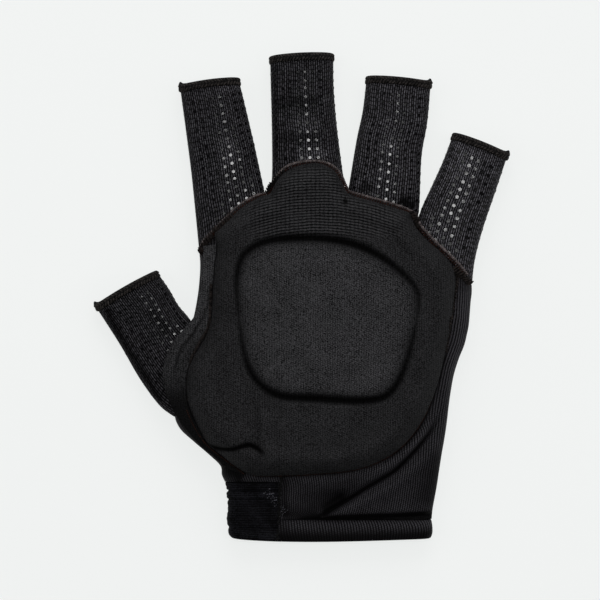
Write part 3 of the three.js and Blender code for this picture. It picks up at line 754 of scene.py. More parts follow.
# Points of the body at table rows and columns. Side is 1 for the back of the hand and -1 for the palm.
def bodyGrid(rows, columns, sides, split=0.0):
    values = spline(bodyRows, rows)
    size = (hand["width"], hand["length"])
    left, right = values[:, None, 0:2] * size, values[:, None, 2:4] * size
    crown, opening, dip = (values[:, None, k] for k in (4, 5, 6))
    width = np.linalg.norm(right - left, axis=2)
    across, rise = acrossAt(columns[None, :], width)
    share = across / width
    rise = np.where(columns[None, :] < 0.5, rise + (1 - rise) * np.clip(opening, 0, 1), rise)
    # the rows bend towards the knuckle line, and their ends draw in to the four finger openings
    marks = np.clip(np.searchsorted(knuckleMarks, share, side="right") - 1, 0, 3)
    lows, highs = np.array(knuckleMarks)[marks], np.array(knuckleMarks)[marks + 1]
    part = (share - lows) / (highs - lows)
    corners = np.array(knuckles)
    line = corners[marks] + (corners[marks + 1] - corners[marks]) * part[..., None]
    straight = corners[0] + (corners[-1] - corners[0]) * share[..., None]
    weight = smooth(rows, bendRow, lastRow)[:, None, None]
    spot = left + (right - left) * share[..., None] + (line - straight) * weight
    sag = np.sin(math.pi * np.clip(share, 0, 1) ** hand["dipCurve"])
    spot[..., 1] -= dip * hand["wristDip"] * sag
    lobeWidth = (highs - lows) * width
    edge = np.minimum(part, 1 - part) * lobeWidth
    radius = hand["fold"]
    lobe = np.sqrt(np.clip(1 - (1 - np.clip(edge / radius, 0, 1)) ** 2, 0, 1))
    toLine = np.linalg.norm(line - spot, axis=2)
    closing = 1 - smooth(toLine, 0, hand["crotchReach"])
    rise = np.maximum(rise * (1 + (lobe - 1) * closing), split / 2 / radius)
    dome = crown * hand["dome"] * (1 - np.abs(2 * share - 1) ** hand["domeCurve"])
    fingerDome = hand["fingerDome"] * (1 - np.abs(2 * part - 1) ** hand["domeCurve"])
    height = radius * (1 + sides * rise)
    top = dome * (1 - closing) + fingerDome * closing + foldsAt(spot, bodyFolds) * np.minimum(1, rise)
    height = np.where(sides > 0, height + top, height)
    return np.concatenate([spot, height[..., None]], axis=2)


# Columns from one to another, closer together in the side folds.
def columnsBetween(first, last, count):
    turn = hand["foldShare"]
    even = np.linspace(first, last, count)
    extra = np.r_[np.linspace(0, turn, 9), np.linspace(1 - turn, 1, 9)]
    inside = extra[(extra >= first) & (extra <= last)]
    middle = even[(even > turn + 0.004) & (even < 1 - turn - 0.004)]
    return np.unique(np.round(np.r_[first, inside, middle, last], 6))


# Rows and columns of the body's meshes. The palm has a share of the back's.
bodyMesh = {"cuffRows": 44, "backRows": 150, "backColumns": 190, "palmShare": 0.6, "hemRows": 26,
            "hemColumns": 150, "elasticRows": 90, "elasticColumns": 60, "seamGap": 0.0006}


def buildBody():
    seam = hand["cuffSeam"]
    gap = bodyMesh["seamGap"]
    pieces = {}
    for name, side in (("back", 1.0), ("palm", -1.0)):
        fine = 1.0 if side > 0 else bodyMesh["palmShare"]
        cuffRows, backRows = int(bodyMesh["cuffRows"] * fine), int(bodyMesh["backRows"] * fine)
        rows = np.r_[np.linspace(hemRow + 0.02, elasticRow, cuffRows, endpoint=False),
                     np.linspace(elasticRow + 0.05, lastRow, backRows)]
        columns = columnsBetween(0, 1, int(bodyMesh["backColumns"] * fine))
        columns = np.unique(np.r_[columns, seam - gap, seam + gap])
        grid = bodyGrid(rows, columns, side, 0.3)
        below = rows[:-1, None] < elasticRow
        keep = ~(below & (columns[None, :-1] < seam))
        if side < 0:
            grid = grid[:, ::-1]
            keep = keep[:, ::-1]
        pieces[name] = (grid, keep)
    band = columnsBetween(seam + gap, 1, bodyMesh["hemColumns"])
    band = np.r_[band, band[-2::-1]]
    sides = np.r_[np.ones((len(band) + 1) // 2), -np.ones(len(band) // 2)]
    pieces["hem"] = bodyGrid(np.linspace(0, hemRow - 0.02, bodyMesh["hemRows"]), band, sides)
    cuff = columnsBetween(0, seam - gap, bodyMesh["elasticColumns"])
    cuff = np.r_[cuff[:0:-1], cuff]
    sides = np.r_[-np.ones(len(cuff) // 2), np.ones((len(cuff) + 1) // 2)]
    rows = np.linspace(0, elasticRow - 0.05, bodyMesh["elasticRows"])
    pieces["elastic"] = bodyGrid(rows, cuff, sides)
    return pieces


bodyParts = buildBody()
backGrid = bodyParts["back"][0]
backPaintedShading = lightAndShadeAt(backGrid, bodyPaintedShading, 0.42)
settle(clothSheet("back_fabric", backGrid, hand["wall"], bodyKnit, bodyParts["back"][1], backPaintedShading),
       "body_fabric", "back_panel")
settle(clothSheet("palm_fabric", bodyParts["palm"][0], hand["wall"], bodyKnit, bodyParts["palm"][1]),
       "body_fabric", "palm_panel")


# The wrist hem is a soft roll. Its upper side is painted lighter, as if lit, and its lower edge, its top
# under the crease and its end beside the elastic are painted in shade.
hemBand = {"wall": 1.4, "roll": 0.9, "sunk": 0.3, "tone": 0.05, "toneRise": 0.5, "toneFrom": 0.38,
           "toneTo": 0.9, "rimPaintedShade": 0.4, "darkTo": -20, "lightFrom": -8, "rest": 0.02}
hemPaintedShading = [fold(hemCrease, -0.3, 1.2)]
# The elastic has cross ribs, and rolls and lighter lines: each lies some way from its rim, and has a
# half width, and a height or a tone. The lighter lines and its lighter left edge are painted light,
# where its rolls and folded edge would catch the lamps.
elastic = {"length": 22.0, "wall": 1.4, "ribPitch": 1.9, "ribHeight": 0.07, "ribStart": 5, "ribFull": 7,
           "rolls": [(2.2, 1.6, 0.5), (4.8, 0.5, -0.45), (14.6, 0.45, -0.5), (18.2, 0.5, -0.6),
                     (16.4, 1.4, 0.25)],
           "tone": 0.9, "paintedTones": [(16.4, 1.3, 0.9), (2.6, 1.2, 0.5)], "edgeTone": 1.5, "edgeWidth": 2.2,
           "rest": 0.02}


def buildHemBand(grid):
    share = np.linspace(0, 1, len(grid))[:, None, None]
    roll = hemBand["roll"] * np.sin(math.pi * share) ** 0.7 - hemBand["sunk"]
    grid = grid + normalsOf(grid, False) * roll
    grid[..., 2] = np.maximum(grid[..., 2], hemBand["rest"])
    share = share[..., 0]
    # painted light on the roll's upper side, and painted shade at its lower edge, under the crease and at
    # its end by the elastic
    rise = smooth(share, hemBand["toneFrom"], hemBand["toneTo"])
    rim = 1 - hemBand["rimPaintedShade"] * smooth(share, 0.92, 1.05)
    tone = hemBand["tone"] + hemBand["toneRise"] * rise * rim
    tone = tone * (0.5 + 0.5 * smooth(grid[..., 0], hemBand["darkTo"], hemBand["lightFrom"]))
    tone = np.clip(tone + foldsAt(grid, hemPaintedShading), 0.03, 2)
    piece = clothSheet("wrist_hem", grid, hemBand["wall"], bodyKnit, paintedShade=tone)
    return settle(piece, "body_fabric", "hem_band")


def buildElastic(grid):
    length = np.linspace(0, 1, len(grid)) * elastic["length"]
    ribs = elastic["ribHeight"] * np.cos(2 * math.pi * length / elastic["ribPitch"])
    ribs = ribs * smooth(length, elastic["ribStart"], elastic["ribFull"])
    rolls = sum(height * hump(length, middle, width) for middle, width, height in elastic["rolls"])
    grid = grid + normalsOf(grid, False) * (ribs + rolls)[:, None, None]
    grid[..., 2] = np.maximum(grid[..., 2], elastic["rest"])
    # painted light along two of the rolls and along the folded left edge
    lighter = sum(tone * hump(length, middle, width) for middle, width, tone in elastic["paintedTones"])
    fromEdge = grid[..., 0] - grid[..., 0].min(axis=1, keepdims=True)
    atEdge = elastic["edgeTone"] * hump(fromEdge, 0, elastic["edgeWidth"])
    tone = (elastic["tone"] + lighter)[:, None] + atEdge
    piece = clothSheet("wrist_elastic_cuff", grid, elastic["wall"], elasticKnit, paintedShade=tone)
    return settle(piece, "elastic", "wrist_elastic")


buildHemBand(bodyParts["hem"])
buildElastic(bodyParts["elastic"])
print("body made")


# Finger sleeves, with their grip dots and the hems at their tips
sleeve = {"wall": 1.0, "gap": 0.3, "tipRadius": 3.6, "baseDome": 1.0, "dome": 1.8, "floor": 0.7,
          "wales": 60, "perWale": 4, "rows": 96, "ribHeight": 0.02, "slack": 0.28, "dotPitch": 3.45,
          "dotGap": 3.1, "dotHeight": 0.9, "dotMargin": 2.2, "dotLow": 0.4, "dotSunk": 0.05,
          "slackAlong": 17, "slackAround": 9.0, "turnSteps": 12, "flatSteps": 28, "domeCurve": 2.1}
hem = {"depth": 3.25, "bulge": 0.85, "sideBulge": 0.25, "bow": 0.55, "columns": 150, "around": 14,
       "knotSwell": 0.45, "knotReach": 3.0, "knotForward": 1.6, "overlap": 0.1, "girthRise": 1.3,
       "stitch": {"pitch": 1.3, "length": 2.2, "width": 0.8, "height": 0.8, "unevenness": 0.25, "seed": 3}}
# Lean is the turn of a sleeve's axis towards the thumb and hemTilt the turn of its hem against the
# axis, in degrees. The nub is the knot of thread at one end of the hem. Tone is how light the cloth is
# painted: one knit, painted lighter on the sleeves that catch more light and darker on those in shade.
# Dot is a dot's width, and level how far the dots' tops lie level on the finger's back instead of
# following the cloth. Shape rows: share of the way, and bulges of the two edges as shares of the hem's
# width.
fingerColumns = ("base", "length", "hemWidth", "lean", "hemTilt", "nub", "tone", "dot", "level", "shape")
fingerRows = {
    "index": (knuckles[:2], 55, 23.8, 9.3, -1.6, "left", 0.375, 1.4, 0.3, [(0.5, -0.02, 0.01)]),
    "middle": (knuckles[1:3], 54.7, 25.2, 2, 0.7, None, 0.35, 1.4, 0.2,
               [(0.15, -0.065, -0.01), (0.5, -0.05, -0.04), (0.8, -0.02, -0.035)]),
    "ring": (knuckles[2:4], 50.9, 25.7, -7.7, 2.3, "right", 0.47, 1.3, 0.12,
             [(0.13, 0, 0.03), (0.5, 0, -0.02), (0.75, -0.02, 0.01)]),
    "little": (knuckles[3:5], 44.5, 23.3, -18.1, -3.6, "right", 0.59, 1.65, 0.4,
               [(0.2, 0.03, -0.065), (0.45, 0.01, -0.07), (0.75, -0.01, -0.03)]),
    "thumb": (thumbSeam, 37.3, 28.1, 35.3, -5.5, "left", 0.3, 1.15, 0,
              [(0.14, 0.077, 0), (0.39, 0.083, -0.02), (0.69, 0.03, 0)]),
}
fingers = {name: dict(zip(fingerColumns, row)) for name, row in fingerRows.items()}
# Folds that cross the sleeves, and painted light and shade on them: lighter bands where they would
# catch the light, and darker bands and patches in their creases and near their bases
sleeveFolds = [
    fold([(-23, 87.5), (-10, 86), (0, 87)], -0.3, 3.2),
    fold([(-23, 71.5), (-10, 72.4), (0, 73.5)], -0.3, 3.2),
    fold([(-24, 79), (-10, 79), (0, 79)], 0.4, 3.0),
    fold([(-48, 86), (-38, 88)], -0.4, 3.0),
    fold([(-48, 74), (-36, 76)], -0.4, 3.0),
    fold([(16, 83), (32, 80)], -0.4, 3.0),
    fold([(18, 63), (34, 60)], -0.4, 3.0),
    fold([(-86.5, 4.4), (-83.6, -2.6), (-74.4, -18.4), (-65.6, -32)], -0.5, 1.2),
]
sleevePaintedShading = [
    fold([(-20.8, 102), (-20.8, 84), (-20.4, 62)], -0.25, 0.7, fade=(0.05, 0.05)),
    fold([(-22, 87), (-10, 86.2), (-2, 86.8)], -0.18, 2.8),
    fold([(-22, 71.6), (-10, 72.4), (-2, 73)], -0.18, 2.4),
    fold([(-16, 77.4), (-3, 77.0)], 0.35, 2.4),
    fold([(-14, 66), (2, 66)], 0.4, 2.2),
    fold([(-41, 74), (-38.5, 60)], 0.25, 4.0),
    fold([(-43, 98), (-40, 90)], 0.25, 4.0),
    fold([(20, 70), (28, 69)], 0.3, 3.6),
    fold([(20, 96), (28, 95)], 0.25, 3.6),
    fold([(27, 47), (34, 43)], -0.6, 4.0),
    fold([(12.5, 54), (17.5, 50)], -0.3, 2.4),
    fold([(56, 70), (50, 54)], 0.3, 4.0),
    fold([(-87.6, 5), (-84.8, -2.3), (-75.4, -18.2), (-66.0, -32.4)], -0.25, 1.3, fade=(0.02, 0.02)),
    fold([(-72, 6), (-66, -2), (-62, -7)], -0.15, 2.4),
]


def sleeveEdges(finger):
    low, high = finger["base"]
    along = (high - low) / np.linalg.norm(high - low)
    outward = np.array([-along[1], along[0]]) * sleeve["gap"]
    left = low + along * 0.15 + outward
    right = high - along * 0.15 + outward
    lean = math.radians(finger["lean"])
    hemAngle = lean + math.radians(finger["hemTilt"])
    half = np.array([math.cos(hemAngle), math.sin(hemAngle)]) * finger["hemWidth"] / 2
    tip = (left + right) / 2 + np.array([-math.sin(lean), math.cos(lean)]) * finger["length"]
    edges = []
    for start, end, side, turn in ((left, tip - half, 1, 1), (right, tip + half, 2, -1)):
        way = end - start
        out = np.array([-way[1], way[0]]) / np.linalg.norm(way) * turn
        middle = [start + way * row[0] + out * row[side] * finger["hemWidth"] for row in finger["shape"]]
        edges.append(through([start, *middle, end], sleeve["rows"]))
    return edges[0], edges[1], np.array([-half[1], half[0]]) / np.linalg.norm(half)


# One loop of a flattened tube at each row, over the top from the left edge and back below, evenly spaced.
def tubeLoops(left, right, floor, radius, crown, columns):
    angle = np.linspace(0, math.pi / 2, sleeve["turnSteps"])
    width = np.linalg.norm(right - left, axis=1)[:, None]
    step = radius[:, None] * (1 - np.cos(angle))
    flatSteps = sleeve["flatSteps"]
    middle = radius[:, None] + (width - 2 * radius[:, None]) * np.linspace(0, 1, flatSteps + 2)[1:-1]
    across = np.concatenate([step, middle, (width - step)[:, ::-1]], axis=1)
    rise = np.concatenate([np.sin(angle), np.ones(flatSteps), np.sin(angle)[::-1]])
    share = across / width
    arch = 1 - np.abs(2 * share - 1) ** sleeve["domeCurve"]
    over = radius[:, None] * (1 + rise) + crown[:, None] * arch * rise
    under = radius[:, None] * (1 - rise)
    across = np.concatenate([share, share[:, -2:0:-1]], axis=1)[..., None]
    height = np.concatenate([over, under[:, -2:0:-1]], axis=1) + floor[:, None]
    flat = left[:, None] + (right - left)[:, None] * across
    loops = np.concatenate([flat, height[..., None]], axis=2)
    loops = np.concatenate([loops, loops[:, :1]], axis=1)
    even = []
    for loop in loops:
        way = np.r_[0, np.cumsum(np.linalg.norm(np.diff(loop, axis=0), axis=1))]
        wanted = np.linspace(0, way[-1], columns + 1)[:-1]
        even.append(np.column_stack([np.interp(wanted, way, loop[:, k]) for k in range(3)]))
    return np.array(even)


def buildSleeve(name, finger):
    left, right, outward = sleeveEdges(finger)
    share = np.linspace(0, 1, sleeve["rows"])
    radius = hand["fold"] + (sleeve["tipRadius"] - hand["fold"]) * share
    crown = sleeve["baseDome"] + (sleeve["dome"] - sleeve["baseDome"]) * np.minimum(1, 2 * share)
    columns = sleeve["wales"] * sleeve["perWale"]
    loops = tubeLoops(left, right, sleeve["floor"] * share, radius, crown, columns)
    normal = normalsOf(loops, True)
    wave = np.cos(2 * math.pi * np.arange(columns) / sleeve["perWale"])
    facing = np.clip(normal[..., 2], 0, 1)
    along = np.sin(share * sleeve["slackAlong"] + finger["lean"])[:, None]
    around = np.sin(np.arange(columns) / columns * sleeve["slackAround"])
    slack = sleeve["slack"] * (along * around) + foldsAt(loops, sleeveFolds)
    grid = loops + normal * (-sleeve["ribHeight"] * wave + slack * facing)[..., None]
    # the painted light and shade lie on the sleeves' tops, and they are plain underneath
    paintedShading = foldsAt(loops, sleevePaintedShading) * smooth(normal[..., 2], -0.5, 0)
    tone = np.clip(finger["tone"] + paintedShading, 0.03, 2)
    piece = clothTube("sleeve_cloth_" + name, grid, sleeve["wall"], sleeveKnit, tone)
    settle(piece, "sleeve_knit", "sleeve_" + name)
    return grid, normal, outward


# Silicone dots in rows and lines over the cloth, seen as points with the way they face.
def buildDots(name, grid, normal, size, level):
    rows, columns = grid.shape[:2]
    around = np.linalg.norm(np.diff(grid[rows // 2], axis=0), axis=1).sum()
    length = np.linalg.norm(np.diff(grid[:, columns // 4], axis=0), axis=1).sum()
    pitch = sleeve["dotPitch"]
    lines = round(around / sleeve["dotGap"])
    steps = int((length - 2 * sleeve["dotMargin"]) / pitch)
    points, facing = [], []
    for step in range(steps + 1):
        r = int(round((sleeve["dotMargin"] + step * pitch) / length * (rows - 1)))
        for line in range(lines):
            c = int(round((line + 0.5) / lines * columns)) % columns
            spot, way = grid[r, c], normal[r, c]
            if spot[2] > sleeve["dotLow"] or way[2] > 0:
                share = level * smooth(way[2], 0.6, 0.9)
                points.append(spot - sleeve["dotSunk"] * way)
                facing.append(way * (1 - share) + np.array([0.0, 0.0, 1.0]) * share)
    values = {"Length": size * 0.001, "Width": size * 0.001,
              "Height": sleeve["dotHeight"] * 0.001, "Unevenness": 0.08, "Seed": 7}
    piece = laidAlong("grip_dots_" + name, "dots", points, facing, values, dotRubber, joined=False)
    return settle(piece, "grip_dot")


# The rolled hem at a sleeve's mouth, wrapped by two rows of slanting stitches.
def buildTipHem(name, finger, grid, normal, outward):
    pick = np.linspace(0, grid.shape[1], hem["columns"], endpoint=False).astype(int)
    loop, out = grid[-1, pick], normal[-1, pick].copy()
    out[:, :2] -= (out[:, :2] @ outward)[:, None] * outward
    out /= np.linalg.norm(out, axis=1, keepdims=True)
    ahead = np.array([outward[0], outward[1], 0.0])
    reach = hem["depth"] / 2
    # it bulges over the back of the finger and less at its sides and below
    bulge = hem["bulge"] * (hem["sideBulge"] + (1 - hem["sideBulge"]) * np.clip(out[:, 2:], 0, 1))
    girth = 0.5 * (sleeve["wall"] + hem["girthRise"] * bulge)
    sideways = np.array([outward[1], -outward[0], 0])
    swell = np.ones(len(loop))
    if finger["nub"]:
        end = loop[0] if finger["nub"] == "left" else loop[np.argmax(loop @ sideways)]
        swell += hem["knotSwell"] * hump(np.linalg.norm(loop - end, axis=1), 0, hem["knotReach"])
    # the roll bows back towards its two ends, but a knot of thread stands forward
    aside = (loop - loop.mean(axis=0)) @ sideways
    back = hem["bow"] * (aside / np.abs(aside).max()) ** 2 - hem["knotForward"] * (swell - 1)
    centre = loop + ahead * (reach - hem["overlap"] - back)[:, None] + out * (bulge - girth)
    angle = np.linspace(0, 2 * math.pi, hem["around"], endpoint=False)
    ring = ahead * np.cos(angle)[:, None, None] * reach + out * np.sin(angle)[:, None, None] * girth
    ring = ring * swell[:, None]
    tube = centre + ring
    faces, corners = gridFaces(hem["around"], hem["columns"], True)
    last = np.arange(hem["columns"])
    after = (last + 1) % hem["columns"]
    base = (hem["around"] - 1) * hem["columns"]
    closing = np.stack([base + last, base + after, after, last], axis=1)
    roll = makePiece("tip_hem_roll_" + name, tube, faces.tolist() + closing.tolist(), darkThread)
    tidyMesh(roll, outwards=True)
    near = stitched("near", centre - ahead * 0.45 * reach + out * (girth * 0.8) * swell[:, None], out,
                    {**hem["stitch"], "slant": 50}, hemThread, True)
    far = stitched("far", centre + ahead * 0.5 * reach + out * (girth * 0.7) * swell[:, None],
                   out * 0.9 + ahead * 0.45, {**hem["stitch"], "slant": -46}, hemThread, True)
    return settle(joinPieces([roll, near, far]), "hem_thread", "tip_hem_" + name)


sleeves = {}
for fingerName, finger in fingers.items():
    grid, normal, outward = buildSleeve(fingerName, finger)
    buildDots(fingerName, grid, normal, finger["dot"], finger["level"])
    buildTipHem(fingerName, finger, grid, normal, outward)
    sleeves[fingerName] = grid
print("sleeves made")


# Foam pad on the back of the hand: its outline, and the groove round its cushion, clockwise. The dent
# is where the thumb bends.
thumbDent = [(-50, -49.9), (-46.6, -50), (-42, -50.8), (-37.6, -50.8), (-33.6, -49.6), (-30.8, -49.2),
             (-27.8, -50.8), (-25.2, -53.2), (-22.6, -56.4)]
pad = {
    "thickness": 8.5, "edge": 1.6, "bevel": 8.0, "crown": 1.4, "grooveDepth": 2.8, "grooveWidth": 1.45,
    "shoulderWidth": 1.5, "clearance": 0.5, "reach": 4.5, "spokes": 432, "swell": 1.2, "fill": 0.8,
    "edgeHeight": 14.0, "grooveHeight": 21.0, "shoulder": 4.2, "rings": (22, 26, 54), "lowest": 8.0,
    "crownReach": 20, "crownCurve": 0.6, "bevelCurve": 2.2, "ringCurve": 0.85, "grooveCurve": 0.8,
    "thinnest": 0.32, "shallowest": 0.12, "coreShare": 0.75, "grooveBeads": 90,
    "drawn": {"from": 30, "full": 36, "rim": (0.5, 3), "middle": -1, "sides": (22, 38)},
    "rimParts": (0.25, 0.55, 0.8, 1.0), "rimBow": 0.35, "rimHeight": 5.0, "rest": 0.15,
    "underParts": (0.96, 0.85, 0.6, 0.3, 0.05),
    "paintedTones": {"edge": 0.55, "cushion": 0.5, "groove": 0.4, "runs": 0.8, "beads": 150, "under": 0.4},
    "stuffing": {"spokeStep": 3, "ringStep": 4, "quality": 6, "mass": 0.2, "stiffness": 25, "bending": 2,
                 "pressure": 4, "frames": 20, "least": 0.4},
    "outline": [
        (-45.2, 35.2), (-42.4, 39.6), (-37.2, 44.4), (-31.2, 48), (-26.4, 49.6), (-23.2, 50.4),
        (-21.6, 53.2), (-19.6, 56.6), (-16.4, 59.4), (-11.2, 61.8), (-5.2, 62.6), (0.4, 61.8),
        (4, 58.8), (6.4, 53.6), (9.2, 50.8), (16.8, 48.4), (26.4, 45.6), (32.4, 42.8), (34.4, 38),
        (39.2, 32), (44.8, 27.2), (49.2, 22), (50.8, 15.6), (50, 7.2), (48.8, -2), (46.8, -12),
        (44.8, -21.2), (42, -30.4), (38, -39.2), (32.8, -46.8), (26.4, -52.8), (18.4, -57.2),
        (8.8, -60), (-3.2, -61.2), (-17.2, -62), (-29.6, -62), (-35.2, -59.6), (-41.6, -54.8),
        (-48, -49.2), (-52, -42), (-55.2, -34.8), (-56.4, -28), (-56, -21.2), (-53.6, -14.8),
        (-49.2, -7.6), (-46.6, 0), (-46, 8.8), (-45.2, 20.8), (-44.2, 28.8),
    ],
    "groove": [
        (-36, 20.8), (-34, 25.6), (-30.4, 28.8), (-25.2, 31.2), (-18.4, 32.4), (-8, 32.8), (0.8, 32.2),
        (9.6, 30.4), (17.6, 27.2), (25.2, 22.4), (32, 16.4), (35.6, 11.6), (36.4, 5.6), (35.2, -2),
        (33.2, -10.8), (30.8, -18.8), (28, -25.2), (24, -30), (18.4, -32), (8.8, -32.4), (-4, -31.6),
        (-17.2, -30.8), (-24, -28.4), (-29.6, -23.2), (-32.8, -16.8), (-34.8, -7.2), (-36.4, 6),
        (-36.8, 14.4),
    ],
    "folds": [
        # the dent and the small swelling below it
        fold(thumbDent, -2.6, 0.75, fade=(0.05, 0.35)),
        fold([(-42, -54.4), (-36, -54.6), (-29, -56.5)], 0.8, 2.6),
        fold([(-45, -45), (-36, -45), (-28, -46)], 0.45, 3.0),
        # a soft crease down from the cushion's corner, and a faint band beside it
        fold([(-28.6, -31), (-28, -38), (-27.4, -48)], -0.6, 1.2),
        fold([(-38, 4), (-38.4, -8), (-37, -20)], -0.35, 2.0),
        # dimples over the finger crotches
        fold([(5.6, 47.2), (6.8, 46.8), (8, 46.6)], -1.6, 1.6),
        fold([(-29.8, 44.4), (-29.2, 44)], -0.8, 1.0),
        fold([(33, 42.4), (34, 40)], -1.2, 1.6),
    ],
    # painted shade in the dent, the crease and the dimples, and painted light beside the crease and low on
    # the cushion
    "paintedShading": [
        fold(thumbDent, -0.7, 0.85, fade=(0.05, 0.35)),
        fold([(-28.6, -31), (-28, -38), (-27.4, -48), (-27, -58)], -0.16, 1.3),
        fold([(-25.6, -33), (-25, -40), (-24.4, -50)], 0.1, 2.0),
        fold([(5.6, 47.2), (6.8, 46.8), (8, 46.6)], -0.5, 1.2),
        fold([(-29.8, 44.4), (-29.2, 44)], -0.4, 0.9),
        fold([(33, 42.4), (34, 40)], -0.5, 1.4),
        fold([(-20, -38), (-4, -40), (12, -40)], 0.1, 6.0),
    ],
}


def polarRadius(path, angles):
    turn = np.arctan2(path[:, 1], path[:, 0])
    order = np.argsort(turn)
    return np.interp(angles, turn[order], np.hypot(path[:, 0], path[:, 1])[order], period=2 * math.pi)


# The pad's face before its groove: a dome that rests on the cloth, from its middle (ring 0) to its rim.
def padFace(ground):
    outline = raised(through(pad["outline"], pad["spokes"], True), pad["edgeHeight"])
    groove = raised(through(pad["groove"], 360, True), pad["grooveHeight"])
    angles = np.arctan2(outline[:, 1], outline[:, 0])
    rim = np.hypot(outline[:, 0], outline[:, 1])
    inner = polarRadius(groove, angles)
    shoulder = pad["shoulder"]
    first, second, third = pad["rings"]
    shares = [inner - shoulder, 2 * shoulder, rim - inner - shoulder]
    radii = np.concatenate([
        shares[0][:, None] * np.linspace(0.03, 1, first, endpoint=False),
        (inner - shoulder)[:, None] + shares[1] * np.linspace(0, 1, second, endpoint=False),
        (inner + shoulder)[:, None] + shares[2][:, None] * np.linspace(0, 1, third) ** pad["ringCurve"],
    ], axis=1)
    spot = np.stack([np.cos(angles), np.sin(angles)], axis=1)[:, None] * radii[..., None]
    around = [(0.0, 0.0)] + [(math.cos(k * math.pi / 4), math.sin(k * math.pi / 4)) for k in range(8)]
    reach = [0.0] + [pad["reach"], pad["reach"] / 2] * 4
    seats = [ground(outline + np.array(way) * far, pad["lowest"]) for way, far in zip(around, reach)]
    rimSeat = np.max(seats, axis=0)
    for turn in range(3):
        rimSeat = (np.roll(rimSeat, 4) + rimSeat + np.roll(rimSeat, -4)) / 3
    rimSeat += pad["clearance"]
    middleSeat = ground(np.zeros((1, 2)))[0] + pad["clearance"]
    seat = middleSeat + (rimSeat[:, None] - middleSeat) * (radii / rim[:, None]) ** 2
    toRim = alongPath(spot, np.vstack([outline, outline[:1]]))[0]
    toGroove, share, side = alongPath(spot, np.vstack([groove, groove[:1]]))
    slope = 1 - (1 - np.clip(toRim / pad["bevel"], 0, 1)) ** pad["bevelCurve"]
    thickness = pad["edge"] + (pad["thickness"] - pad["edge"]) * slope
    crown = pad["crown"] * np.clip(toGroove / pad["crownReach"], 0, 1) ** pad["crownCurve"]
    thickness += np.where(radii < inner[:, None], crown, 0)
    return {"spot": spot, "seat": seat, "thickness": thickness, "toRim": toRim, "toGroove": toGroove,
            "share": share, "rimSeat": rimSeat, "outline": outline, "inner": inner, "angles": angles}


# Swells the plain face like stuffed cloth: pressure from below, held at the rim, with a cap on the move.
def swellFace(face):
    before = np.concatenate([face["spot"], (face["seat"] + face["thickness"])[..., None]], axis=2)
    stuffing = pad["stuffing"]
    spokeStep, ringStep, frames = stuffing["spokeStep"], stuffing["ringStep"], stuffing["frames"]
    coarse = before[::spokeStep, ::ringStep].transpose(1, 0, 2)[:, ::-1]
    rings, spokes = coarse.shape[:2]
    faces, corners = gridFaces(rings, spokes, True)
    work = makePiece("pad_swell", coarse, faces.tolist(), padKnit)
    held = work.vertex_groups.new(name="held")
    held.add(list(range((rings - 2) * spokes, rings * spokes)), 1.0, "REPLACE")
    cloth = work.modifiers.new("cloth", "CLOTH")
    settings = cloth.settings
    settings.quality = stuffing["quality"]
    settings.mass = stuffing["mass"]
    settings.tension_stiffness = settings.compression_stiffness = stuffing["stiffness"]
    settings.bending_stiffness = stuffing["bending"]
    settings.use_pressure = True
    settings.uniform_pressure_force = stuffing["pressure"]
    settings.vertex_group_mass = "held"
    settings.effector_weights.gravity = 0
    cloth.collision_settings.use_collision = False
    cloth.point_cache.frame_end = frames
    for number in range(1, frames + 1):
        scene.frame_set(number)
    graph = bpy.context.evaluated_depsgraph_get()
    swollen = work.evaluated_get(graph).to_mesh()
    after = np.empty(len(swollen.vertices) * 3)
    swollen.vertices.foreach_get("co", after)
    move = after.reshape(rings, spokes, 3) * 1000 - coarse
    scene.frame_set(1)
    bpy.data.objects.remove(work)
    size = np.linalg.norm(move, axis=2, keepdims=True)
    print("pad swelled by up to", round(float(size.max()), 2), "mm")
    move *= np.minimum(1, pad["swell"] / np.maximum(size, 1e-9)) * np.minimum(1, size / stuffing["least"])
    move = move[:, ::-1].transpose(1, 0, 2)
    fine = np.empty_like(before)
    spokeAt = np.arange(len(before)) / spokeStep
    ringAt = np.arange(before.shape[1]) / ringStep
    looped = np.concatenate([move, move[:1]])
    for k in range(3):
        rows = [np.interp(ringAt, np.arange(move.shape[1]), row) for row in looped[..., k]]
        columns = [np.interp(spokeAt, np.arange(len(looped)), column) for column in np.array(rows).T]
        fine[..., k] = np.array(columns).T
    return fine


